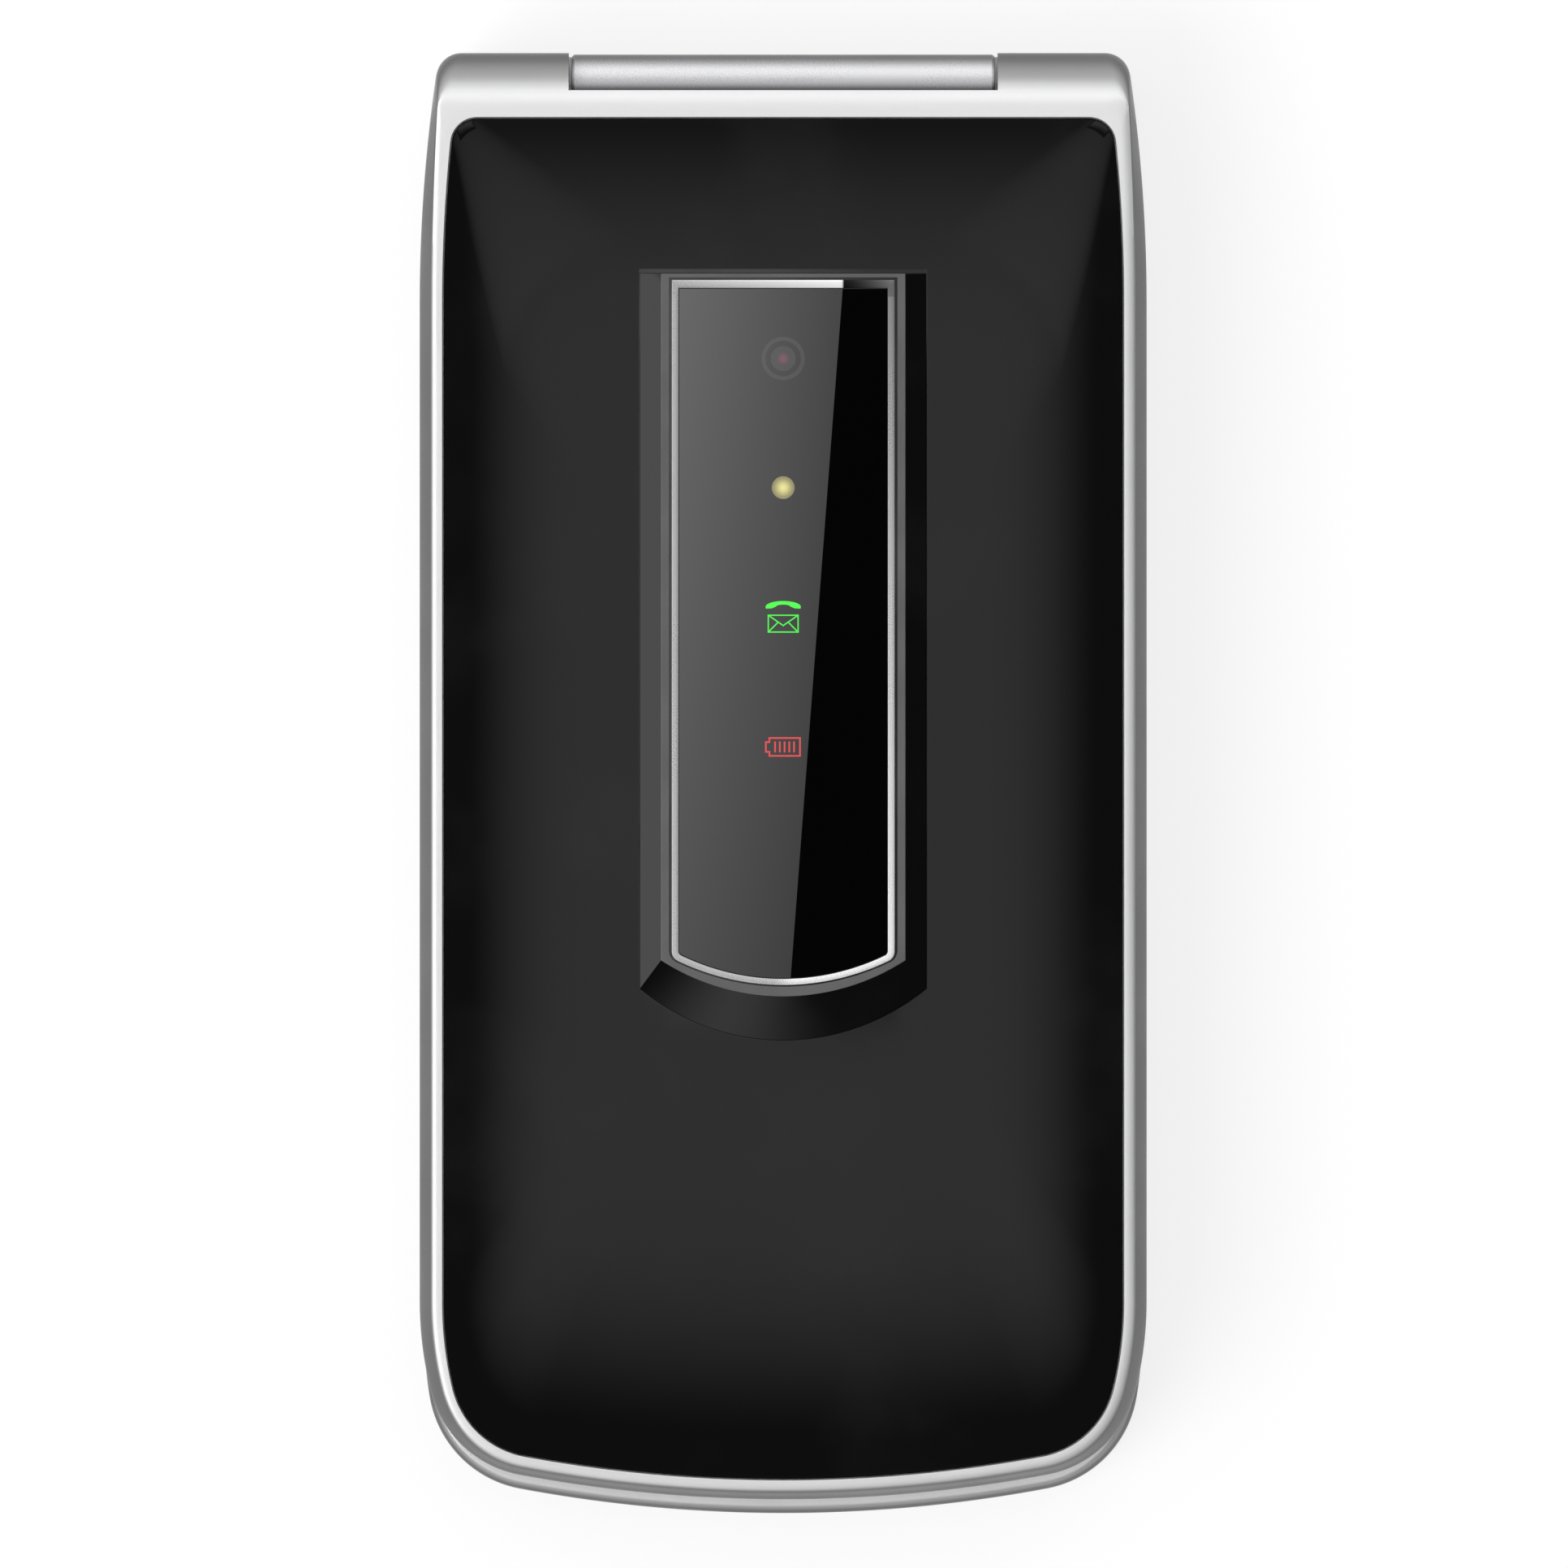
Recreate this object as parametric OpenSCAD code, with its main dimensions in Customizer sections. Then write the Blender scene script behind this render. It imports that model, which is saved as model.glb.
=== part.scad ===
// Clamshell mobile phone, closed and lying on its back with the lid on top.
// X runs across the phone, Y from the rounded end towards the hinge, Z up through the lid.
// The origin is under the middle of the phone. All sizes are in millimetres.

/* [Overall] */
// Length from the rounded end to the hinge end
phone_l = 108.2; // [108:0.1:109]
// Width of the lid
lid_w = 53.8; // [53.8:0.1:54.4]
// Width of the base under it
base_w = 53.2; // [53.2:0.1:53.6]
// How far the base shows past the lid at the rounded end
base_lip = 1.15; // [1:0.05:1.3]
// Wall thickness of the base and lid shells
shell_wall = 1.7; // [1.5:0.1:1.8]

/* [Base] */
// Thickness of the battery cover
cover_t = 1; // [0.9:0.05:1.1]
// Length of the battery
battery_l = 54.2; // [50:0.2:54.2]
// Width of the battery
battery_w = 34.8; // [30:0.2:34.8]
// Thickness of the battery
battery_t = 3.85; // [3.6:0.05:4]
// Thickness of the main circuit board
board_t = 0.8; // [0.6:0.1:0.9]
// Thickness of the keypad faceplate
faceplate_t = 1.3; // [1.2:0.05:1.4]

/* [Keypad] */
// Width of a number key
key_w = 14.3; // [12:0.1:14.4]
// Height of a number key
key_h = 11.6; // [10:0.1:11.8]
// Spacing of the key columns
key_pitch_x = 15.9; // [15.8:0.05:15.95]
// Spacing of the key rows
key_pitch_y = 13.4; // [13.2:0.1:13.5]
// Travel of a pressed key
key_travel = 0.4; // [0.3:0.05:0.45]
// Gap between a key and its hole in the faceplate
key_gap = 0.15; // [0.1:0.01:0.18]

/* [Hinge] */
// Radius of the fixed barrel
barrel_r = 4.2; // [4.1:0.05:4.25]
// Radius of the lid knuckles
knuckle_r = 4.3; // [4.2:0.05:4.35]
// Length of the fixed barrel
barrel_l = 31.3; // [30:0.1:31.5]
// Gap at each end of the barrel
barrel_gap = 0.22; // [0.15:0.01:0.3]

/* [Lid] */
// Width of the glossy cover panel
panel_w = 50.2; // [49.8:0.1:50.4]
// Rise of the cover panel from its edge to its middle
panel_crown = 0.8; // [0.4:0.1:0.9]
// Width of the inner display window
window_w = 46.2; // [44:0.2:46.4]
// Length of the inner display window
window_l = 68.2; // [64:0.2:68.4]

/* [Indicator strip] */
// Half width of the raised surround at its foot
surround_hw = 10.62; // [10.2:0.02:10.8]
// Half width of the lip round the glass
lip_hw = 9; // [8.8:0.05:9.1]
// Half width of the bright trim, outside
trim_hw = 8.34; // [8.2:0.02:8.36]
// Width of the bright trim
trim_w = 0.57; // [0.4:0.01:0.7]

/* [Hidden] */
$fn = 48;

silver = "#c4c5c9";
barrel_silver = "#c9cbd6";
gloss_black = "#141416";
soft_black = "#232426";
board_green = "#1f5a3a";
steel = "#a9abad";
gold = "#caa85a";

// Outlines: the rounded end, its corners, the lower and upper side arcs, the hinge corners
end_r = 106;
side_r = 27;
corner_r = 8.3;
panel_corner_r = 6.6;
hinge_corner_r = 1.9;
least_corner_r = 0.3;
y_end = phone_l / 2;
side_top_y = 35.6;
taper_l = 16.8;
taper = 1.2;
taper_fade = 0.67;
base_low_y = -41;
lid_low_y = -38.3;
panel_low_y = -38.4;

// Heights in the base, from the rear face up
battery_z = cover_t + 0.2;
sim_z = battery_z + battery_t + 0.1;
bay_roof_z = sim_z + 0.55;
parting_z = bay_roof_z - 0.3;
tray_top_z = bay_roof_z + 0.6;
board_z = tray_top_z + 0.2;
board_top_z = board_z + board_t;
sheet_t = 0.2;
dome_h = 0.15;
dome_r = 2.4;
dome_top_z = board_top_z + sheet_t + dome_h;
flange_z = dome_top_z + key_travel + 0.05;
flange_t = 0.6;
faceplate_z = flange_z + flange_t + 0.1;
roof_z = board_top_z + 0.3;
faceplate_top_z = faceplate_z + faceplate_t;
base_top_z = faceplate_top_z + 0.3;

// Insets of the shapes inside the base
tray_in = shell_wall + 0.3;
board_in = shell_wall + 0.5;
ledge_in = 3;
faceplate_in = 2.3;
faceplate_y = 42.8;
board_y = 44;
fit = 0.1;

// Hinge
hinge_y = y_end - knuckle_r;
hinge_z = base_top_z + 3.6;
end_lift = 1.2;
trough_r = knuckle_r + end_lift + 0.15;
barrel_hw = barrel_l / 2;
notch_hw = barrel_hw + barrel_gap;
notch_y = hinge_y + 1.48;
lid_over_barrel_r = barrel_r + 0.15;
open_angle = 160;
knuckle_end_x = lid_w / 2 - 1.3;
knuckle_round = 2;
saddle_y0 = hinge_y - 2.75;
saddle_y1 = hinge_y - 0.25;
flex_x0 = 4;
flex_x1 = 11.5;
flex_slot_y = hinge_y - 1.7;
flex_slot_w = 0.6;
flex_t = 0.12;
cartridge_r = 2.9;
cartridge_bore_r = 2.2;
shaft_r = 1.6;
sleeve_r = 2.2;

// Battery, its cover and the rooms of the rear housing
cover_hw = 21.5;
cover_y = 16;
rail_hw = cover_hw + 0.9;
battery_y = -16.8;
bay_gap = 0.3;
room_hw = 23.4;
room_y0 = 17;
room_y1 = 43.5;
floor_z = cover_t + 0.2;
low_screws = [17.8, -48.2];
high_screws = [20.9, 40.3];
screw_head_r = 1.4;
screw_r = 0.8;

// Parts in the rear rooms
sos_pos = [0, 33];
sos_r = 4.8;
speaker_pos = [-12.5, 31];
jack_x0 = 12.5;
jack_y = 27;
jack_z = 3.8;
jack_bore_r = 1.8;
jack_nose_r = 2.55;
jack_mouth_x = base_w / 2 - 0.3;
rocker_y = 25;
rocker_z = parting_z - 0.1;
rocker_half = 7.4;
rocker_r = 1.1;
rocker_x0 = -base_w / 2 - 0.2;
rocker_x1 = -24.4;
contact_x = 10.5;

// Keypad places
key_top_y = 6.5;
key_r = 2.5;
key_lip = 0.45;
side_key_x = 17.55;
side_key_w = 10.8;
side_key_lip = 0.4;
soft_y = 33;
soft_h = 6.5;
call_y = 22;
call_h = 9;
nav_y = 27;
nav_w = 21.4;
nav_h = 19.6;
nav_r = 7;
nav_gap = 0.3;
nav_hole_r = 4.6;
nav_rib_r = 0.3;
nav_rib_x0 = 5.8;
nav_rib_x1 = 10.6;
nav_rib_y0 = 5.6;
nav_rib_y1 = 8.8;
pivot_t = 0.25;
pivot_axis_z = flange_z + 0.1;
ring_axis_z = flange_z + pivot_t + 0.07 + nav_rib_r;
ok_r = 4.4;
ok_flange_r = 5.1;

// Heights in the lid
lid_z = base_top_z + 0.5;
lid_split_z = lid_z + 2.5;
display_window_z = lid_z + 0.2;
display_window_t = 1;
display_z = display_window_z + display_window_t + 0.2;
display_t = 2.6;
lid_board_z = display_z + display_t + 0.2;
lid_board_t = 0.6;
lid_board_top_z = lid_board_z + lid_board_t;
lid_end_z = hinge_z + end_lift;
lid_top_z = lid_end_z + knuckle_r;
round_z = lid_top_z - 3;
round_w = 0.95;
round_power = 1.4;
lid_roof_z = lid_top_z - 1.9;
panel_seat_z = lid_top_z - 1.1;
panel_z = panel_seat_z + 0.05;
panel_edge_z = lid_top_z - 0.1;
surround_shoulder_z = lid_top_z + 0.6;
surround_top_z = lid_top_z + 1.25;
glass_z = lid_top_z;
glass_top_z = lid_top_z + 1.2;
trim_top_z = lid_top_z + 1.3;

// Places in the lid
inner_y = 45.2;
lid_room_y = 44;
panel_lip = 1.55;
panel_y0 = base_lip - y_end + panel_lip;
panel_y1 = hinge_y - 0.62;
window_y = -3;
display_w = 43;
display_l = 60.6;
display_y = -1;
earpiece_y = -43.5;
free_bumpers = [21.8, -46.6];
hinge_bumpers = [23.5, 39.5];
bumper_r = 1.3;
lid_screw_r = 0.7;
camera_y = 31.42;
flash_y = 21.88;
call_icon_y = 12.4;
battery_icon_y = 2.75;

// Indicator strip: hinge-side edge, rounded-end middle and radius of each outline
surround_foot = [surround_hw, 38.02, -18.98, 16.6];
surround_lip = [lip_hw, 37.66, -15.68, 16.6];
trim_edge = [trim_hw, 37.24, -15.02, 17.6];

// ---- points and outlines ----

function arc(c, r, a0, a1, n) =
    [for (i = [1 : n]) let (a = a0 + (a1 - a0) * i / n) c + r * [cos(a), sin(a)]];

function mirrored(points) =
    [for (i = [len(points) - 1 : -1 : 0]) [-points[i].x, points[i].y]];

// Where circles of radius d1 about c1 and d2 about c2 cross, on the right of the line c1 to c2
function crossing(c1, d1, c2, d2) =
    let (
        d = norm(c2 - c1),
        u = (c2 - c1) / d,
        a = (d1 * d1 - d2 * d2 + d * d) / (2 * d),
        h = sqrt(d1 * d1 - a * a)
    )
    c1 + a * u + h * [-u.y, u.x];

// Plan outline: rounded end, corner, full side, a slow taper and a small hinge corner.
// The outline shrinks by inset, and ends at y_top; flare lets the taper fade out.
function outline(hw, y_bot, y_low, r_low, inset, y_top, flare = 0) =
    let (
        c1 = [0, y_bot + end_r],
        c3 = [hw - side_r, y_low],
        c2 = crossing(c1, end_r - r_low, c3, side_r - r_low),
        a1 = atan2(c2.y - c1.y, c2.x - c1.x),
        a2 = atan2(c2.y - c3.y, c2.x - c3.x),
        r4 = taper_l * taper_l / (2 * (taper - taper_fade * flare)),
        c4 = [hw - r4, side_top_y],
        r5 = max(hinge_corner_r - inset, least_corner_r),
        y5 = y_top - r5,
        c5 = [c4.x + sqrt(pow(r4 - inset - r5, 2) - pow(y5 - c4.y, 2)), y5],
        a4 = atan2(c5.y - c4.y, c5.x - c4.x),
        half = concat(
            arc(c1, end_r - inset, -90, a1, 6),
            arc(c2, r_low - inset, a1, a2, 8),
            arc(c3, side_r - inset, a2, 0, 4),
            [[hw - inset, side_top_y]],
            arc(c4, r4 - inset, 0, a4, 4),
            arc(c5, r5, a4, 90, 5)
        )
    )
    concat([[0, y_bot + inset]], half, mirrored(half));

function base_outline(inset, y_top = y_end - 0.2) =
    outline(base_w / 2, -y_end, base_low_y, corner_r, inset, min(y_top, y_end - 0.2 - inset));

function lid_outline(inset, y_top = y_end, flare = 0) =
    outline(lid_w / 2, base_lip - y_end, lid_low_y, corner_r, inset, y_top, flare);

function panel_outline(inset) =
    outline(panel_w / 2, panel_y0, panel_low_y, panel_corner_r, inset, panel_y1 - inset);

function rounded_rect(x, y, w, h, r, n = 4) =
    let (right = concat(
        arc([w / 2 - r, r - h / 2], r, -90 - 90 / n, 0, n + 1),
        arc([w / 2 - r, h / 2 - r], r, -90 / n, 90, n + 1)
    ))
    [for (p = concat(right, mirrored(right))) p + [x, y]];

// Strip outline from [half width, hinge-side y, rounded-end y, radius], shrunk by inset
function strip_outline(s, inset = 0, n = 8) =
    let (
        hw = s[0] - inset,
        r = s[3] - inset,
        y_low = s[2] + inset,
        a = asin(hw / r)
    )
    concat(
        [for (i = [-n : n]) [r * sin(a * i / n), y_low + r - r * cos(a * i / n)]],
        [[hw, s[1] - inset], [-hw, s[1] - inset]]
    );

function at_height(points, z) = [for (p = points) [p.x, p.y, z]];

function scaled(points, centre, s) = [for (p = points) centre + s * (p - centre)];

// Places of the key with number i, counted along the rows from the hinge side
function key_x(i) = (i % 3 - 1) * key_pitch_x;
function key_y(i) = key_top_y - floor(i / 3) * key_pitch_y;

// ---- shared solids ----

// Solid through rings of equal length, listed from the lowest to the highest
module loft(rings) {
    n = len(rings[0]);
    last = (len(rings) - 1) * n;
    bottom = [for (i = [1 : n - 2]) [0, i, i + 1]];
    top = [for (i = [1 : n - 2]) [last, last + i + 1, last + i]];
    sides = [
        for (k = [0 : len(rings) - 2], i = [0 : n - 1])
            let (j = (i + 1) % n, a = k * n, b = (k + 1) * n)
                each [[a + i, b + i, b + j], [a + i, b + j, a + j]]
    ];
    polyhedron(points = [for (r = rings) each r], faces = concat(bottom, top, sides));
}

module prism(points, z0, z1) {
    translate([0, 0, z0]) linear_extrude(z1 - z0) polygon(points);
}

module block(x0, x1, y0, y1, z0, z1) {
    translate([x0, y0, z0]) cube([x1 - x0, y1 - y0, z1 - z0]);
}

module disc(x, y, r, z0, z1) {
    translate([x, y, z0]) cylinder(r = r, h = z1 - z0);
}

module rod_x(y, z, r, x0, x1) {
    translate([x0, y, z]) rotate([0, 90, 0]) cylinder(r = r, h = x1 - x0);
}

module hinge_rod(r, x0, x1) {
    rod_x(hinge_y, hinge_z, r, x0, x1);
}

module both_sides(p) {
    for (side = [-1, 1]) translate([side * p.x, p.y, 0]) children();
}

// Stadium across the side wall, for the rocker and its slot
module rocker_shape(half, r, x0, x1) {
    block(x0, x1, rocker_y - half + r, rocker_y + half - r, rocker_z - r, rocker_z + r);
    for (side = [-1, 1]) rod_x(rocker_y + side * (half - r), rocker_z, r, x0, x1);
}

module rocker_slot() {
    rocker_shape(rocker_half + 0.3, rocker_r + 0.15, -base_w, rocker_x1 + 0.5);
}

module jack_hole() {
    rod_x(jack_y, jack_z, jack_nose_r + 0.15, room_hw - 0.1, base_w);
}

module usb_slot() {
    block(-4, 4, -y_end - 1, -51, 3.7, 6.55);
}

// Shells of the base before they are hollowed
module rear_shell() {
    loft([
        for (s = [[0, 2.6], [0.25, 1.7], [0.7, 0.95], [1.4, 0.4], [2.4, 0.1], [3.4, 0],
                  [parting_z, 0]])
            at_height(base_outline(s[1]), s[0])
    ]);
}

module front_shell() {
    loft([
        for (s = [[parting_z, 0], [base_top_z - 1.2, 0], [base_top_z - 0.6, 0.1],
                  [base_top_z - 0.2, 0.3], [base_top_z, 0.6]])
            at_height(base_outline(s[1]), s[0])
    ]);
}

// ---- base ----

module front_shell_hollow() {
    difference() {
        front_shell();
        prism(base_outline(shell_wall), parting_z - 0.1, roof_z);
        prism(base_outline(ledge_in, faceplate_y - 0.8), roof_z - 0.1, faceplate_z + 0.05);
        prism(base_outline(faceplate_in - fit, faceplate_y + fit), faceplate_z, base_top_z + 1);
        hinge_rod(trough_r, -base_w, base_w);
        translate([0, hinge_y, hinge_z]) rotate([180 - open_angle, 0, 0])
            block(-base_w, base_w, 0, 20, -trough_r - 0.1, 14);
    }
}

module front_posts() {
    both_sides(low_screws) disc(0, 0, 2, board_z - 0.15, faceplate_z);
    both_sides(high_screws) disc(0, 0, 2, board_z - 0.15, faceplate_z);
    for (side = [-1, 1])
        translate([side * (high_screws.x + 1.6), high_screws.y, (roof_z + faceplate_z) / 2])
            cube([3.4, 1.6, faceplate_z - roof_z], center = true);
}

module base_front_housing() {
    color(silver)
    difference() {
        union() {
            front_shell_hollow();
            front_posts();
            block(-barrel_hw, barrel_hw, saddle_y0, saddle_y1, roof_z + 0.4, hinge_z - 2);
        }
        hinge_rod(barrel_r + 0.02, -barrel_hw - 1, barrel_hw + 1);
        both_sides(low_screws) disc(0, 0, screw_r + 0.02, parting_z, faceplate_z - 0.3);
        both_sides(high_screws) disc(0, 0, screw_r + 0.02, parting_z, faceplate_z - 0.3);
        block(flex_x0, flex_x1, flex_slot_y, flex_slot_y + flex_slot_w, roof_z - 0.5, hinge_z);
        rocker_slot();
        jack_hole();
        usb_slot();
    }
}

module rear_shell_hollow() {
    difference() {
        union() {
            rear_shell();
            prism(base_outline(tray_in), parting_z - 0.1, tray_top_z);
        }
        // sliding seat of the battery cover
        block(-cover_hw - fit, cover_hw + fit, -y_end - 5, cover_y + fit, -1, cover_t + 0.05);
        block(-rail_hw - fit, rail_hw + fit, -y_end - 5, cover_y + fit, 0.55, cover_t + 0.05);
        // battery bay, with the pocket and slot of its contacts
        block(-battery_w / 2 - bay_gap, battery_w / 2 + bay_gap,
              battery_y - battery_l / 2 - bay_gap, battery_y + battery_l / 2 + bay_gap,
              cover_t, bay_roof_z);
        block(-6, 6, 10.5, 13, 2, 5);
        block(-6, 6, 11.5, 12.6, 4.9, tray_top_z + 1);
        // component room, side rooms and end room, open towards the board
        block(-room_hw, room_hw, room_y0, room_y1, floor_z, tray_top_z + 1);
        for (x = [-room_hw, 19.3])
            block(x, x + room_hw - 19.3, -40, 11, 2.2, tray_top_z + 1);
        block(-15, 15, -51.2, -46, 2.2, tray_top_z + 1);
    }
}

module base_rear_housing() {
    color(soft_black)
    difference() {
        union() {
            rear_shell_hollow();
            both_sides(high_screws) disc(0, 0, 2.3, floor_z - 0.2, tray_top_z);
        }
        // screw heads and shanks
        both_sides(low_screws) disc(0, 0, screw_head_r + 0.1, cover_t - 0.1, cover_t + 1.1);
        both_sides(high_screws) disc(0, 0, screw_head_r + 0.1, -1, cover_t + 0.6);
        both_sides(low_screws) disc(0, 0, screw_r + 0.1, cover_t, tray_top_z + 1);
        both_sides(high_screws) disc(0, 0, screw_r + 0.1, cover_t, tray_top_z + 1);
        disc(sos_pos.x, sos_pos.y, sos_r + 0.15, -1, floor_z + 0.1);
        // sound slots of the ringer
        for (i = [-2 : 2])
            block(speaker_pos.x - 3.5, speaker_pos.x + 3.5,
                  speaker_pos.y + 2.2 * i - 0.4, speaker_pos.y + 2.2 * i + 0.4, -1, floor_z + 0.1);
        // charging contacts
        for (side = [-1, 1])
            block(side * contact_x - 1.3, side * contact_x + 1.3, -y_end - 1, -51, 2.4, 4);
        rocker_slot();
        jack_hole();
        usb_slot();
    }
}

module battery_cover() {
    color(soft_black)
    difference() {
        union() {
            intersection() {
                rear_shell();
                block(-cover_hw, cover_hw, -y_end - 1, cover_y, -1, cover_t);
            }
            for (side = [-1, 1])
                translate([side * (rail_hw - 0.5), 0, 0]) block(-0.5, 0.5, -44, cover_y, 0.6, cover_t);
        }
        // thumb grip
        for (i = [0 : 4])
            block(-7 + i, 7 - i, 11.4 - 1.3 * i, 12 - 1.3 * i, -1, 0.25);
    }
}

module base_screws() {
    color(steel) {
        both_sides(low_screws) {
            disc(0, 0, screw_head_r, cover_t + 0.1, cover_t + 1.1);
            disc(0, 0, screw_r, cover_t + 1, faceplate_z - 0.4);
        }
        both_sides(high_screws) {
            disc(0, 0, screw_head_r, 0.6, cover_t + 0.6);
            disc(0, 0, screw_r, cover_t + 0.5, faceplate_z - 0.4);
        }
    }
}

module battery() {
    color("#3a3d42")
    prism(rounded_rect(0, battery_y, battery_w, battery_l, 1.2), battery_z, battery_z + battery_t);
}

module battery_contacts() {
    color(gold) {
        block(-5.8, 5.8, 10.75, 12.8, 2.1, 4.9);
        for (x = [-4, 0, 4]) {
            block(x - 0.6, x + 0.6, 10.35, 10.8, 3, 4.2);
            block(x - 0.5, x + 0.5, 11.9, 12.2, 4.8, board_z - 0.02);
        }
    }
}

module sim_card_holder() {
    color(steel)
    difference() {
        block(-13.5, 13.5, -34, -17, sim_z, bay_roof_z);
        block(-12.8, 12.8, -35, -18, sim_z - 1, bay_roof_z - 0.2);
    }
}

module ringer_speaker() {
    color("#303235")
    prism(rounded_rect(speaker_pos.x, speaker_pos.y, 10, 14, 1.5), floor_z + 0.1, floor_z + 3.2);
}

module vibration_motor() {
    motor_y = 41;
    motor_z = floor_z + 2.3;
    color(steel) {
        rod_x(motor_y, motor_z, 2, -16, -7.5);
        rod_x(motor_y, motor_z, 0.3, -7.6, -4);
        difference() {
            rod_x(motor_y, motor_z, 1.8, -7, -4.4);
            block(-8, -3, motor_y - 2, motor_y + 2, motor_z + 0.4, motor_z + 3);
        }
    }
}

module main_circuit_board() {
    color(board_green)
    difference() {
        prism(base_outline(board_in, board_y), board_z, board_top_z);
        both_sides(low_screws) disc(0, 0, 2.3, board_z - 1, board_top_z + 1);
        both_sides(high_screws) disc(0, 0, 2.3, board_z - 1, board_top_z + 1);
    }
}

module dome(x, y) {
    disc(x, y, dome_r, board_top_z + sheet_t - 0.05, dome_top_z);
}

module dome_sheet() {
    color("#d8d8d2") {
        block(-22.5, 22.5, -42, 38, board_top_z, board_top_z + sheet_t);
        for (i = [0 : 11]) dome(key_x(i), key_y(i));
        for (side = [-1, 1]) {
            dome(side * side_key_x, soft_y);
            dome(side * side_key_x, call_y);
            dome(side * 8, nav_y);
            dome(0, nav_y + side * 7.4);
        }
        dome(0, nav_y);
    }
}

module microphone() {
    color("#8c8c90") disc(0, -47, 2, board_top_z, faceplate_z - 0.2);
}

module usb_port() {
    color(steel) {
        difference() {
            block(-3.75, 3.75, -53.2, -48, 3.85, board_z - 0.1);
            block(-3.45, 3.45, -54, -49, 4.15, board_z - 0.4);
        }
        block(-2.6, 2.6, -52.6, -48.5, 4.9, 5.25);
    }
}

module headphone_jack() {
    color("#26272a")
    difference() {
        union() {
            block(jack_x0, room_hw - 0.2, jack_y - 3.2, jack_y + 3.2, floor_z + 0.15, board_z - 0.1);
            rod_x(jack_y, jack_z, jack_nose_r, room_hw - 0.3, jack_mouth_x);
        }
        rod_x(jack_y, jack_z, jack_bore_r, jack_x0 - 1, jack_mouth_x + 1);
    }
}

module dock_contacts() {
    color(gold)
    for (side = [-1, 1])
        block(side * contact_x - 1.2, side * contact_x + 1.2, -53.3, -51.3, 2.5, 3.9);
}

module keypad_faceplate() {
    color(gloss_black)
    difference() {
        prism(base_outline(faceplate_in, faceplate_y), faceplate_z, faceplate_top_z);
        for (i = [0 : 11]) key_hole(key_x(i), key_y(i), key_w, key_h, key_r);
        for (side = [-1, 1]) {
            key_hole(side * side_key_x, soft_y, side_key_w, soft_h, key_r);
            key_hole(side * side_key_x, call_y, side_key_w, call_h, key_r);
        }
        prism(rounded_rect(0, nav_y, nav_w + 2 * nav_gap, nav_h + 2 * nav_gap, nav_r + nav_gap),
              faceplate_z - 1, faceplate_top_z + 1);
        disc(0, -47, 0.5, faceplate_z - 1, faceplate_top_z + 1);
    }
}

module key_hole(x, y, w, h, r) {
    prism(rounded_rect(x, y, w + 2 * key_gap, h + 2 * key_gap, r + key_gap),
          faceplate_z - 1, faceplate_top_z + 1);
}

// Key with a retaining flange under the faceplate and a softly rounded cap
module key_body(x, y, w, h, lip = key_lip) {
    prism(rounded_rect(x, y, w + 2 * lip, h + 2 * lip, key_r + lip), flange_z, flange_z + flange_t);
    loft([
        for (s = [[flange_z + 0.5, 0], [faceplate_top_z + 0.15, 0],
                  [faceplate_top_z + 0.4, 0.15], [faceplate_top_z + 0.5, 0.45]])
            at_height(rounded_rect(x, y, w - 2 * s[1], h - 2 * s[1], key_r - s[1]), s[0])
    ]);
}

module number_key(i) {
    color(gloss_black) key_body(key_x(i), key_y(i), key_w, key_h);
}

module key_1() {
    number_key(0);
}

module key_2() {
    number_key(1);
}

module key_3() {
    number_key(2);
}

module key_4() {
    number_key(3);
}

module key_5() {
    number_key(4);
}

module key_6() {
    number_key(5);
}

module key_7() {
    number_key(6);
}

module key_8() {
    number_key(7);
}

module key_9() {
    number_key(8);
}

module key_star() {
    number_key(9);
}

module key_0() {
    number_key(10);
}

module key_hash() {
    number_key(11);
}

module side_key(side, y, h) {
    color(gloss_black) key_body(side * side_key_x, y, side_key_w, h, side_key_lip);
}

module soft_key_left() {
    side_key(-1, soft_y, soft_h);
}

module soft_key_right() {
    side_key(1, soft_y, soft_h);
}

module call_key() {
    side_key(-1, call_y, call_h);
}

module end_key() {
    side_key(1, call_y, call_h);
}

// Rocking plate under the navigation ring, on two round ribs along X
module navigation_pivot() {
    color("#55565a")
    difference() {
        union() {
            prism(rounded_rect(0, nav_y, nav_w + 1.6, nav_h + 1.6, nav_r + 0.8),
                  flange_z, flange_z + pivot_t);
            for (x = [-nav_rib_x1, nav_rib_x0])
                rod_x(nav_y, pivot_axis_z, nav_rib_r, x, x + nav_rib_x1 - nav_rib_x0);
        }
        disc(0, nav_y, ok_flange_r + 0.2, flange_z - 1, flange_z + 2);
    }
}

// Four-way ring, which rocks across the pivot plate on two round ribs along Y
module navigation_ring() {
    ring_z = flange_z + 0.75;
    color(silver)
    difference() {
        union() {
            loft([
                for (s = [[ring_z, 0], [base_top_z - 0.35, 0], [base_top_z - 0.1, 0.2],
                          [base_top_z, 0.55]])
                    at_height(
                        rounded_rect(0, nav_y, nav_w - 2 * s[1], nav_h - 2 * s[1], nav_r - s[1]),
                        s[0]
                    )
            ]);
            for (y = [nav_y - nav_rib_y1, nav_y + nav_rib_y0])
                translate([0, y, ring_axis_z]) rotate([-90, 0, 0])
                    cylinder(r = nav_rib_r, h = nav_rib_y1 - nav_rib_y0);
        }
        disc(0, nav_y, nav_hole_r, flange_z, base_top_z + 1);
    }
}

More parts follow.
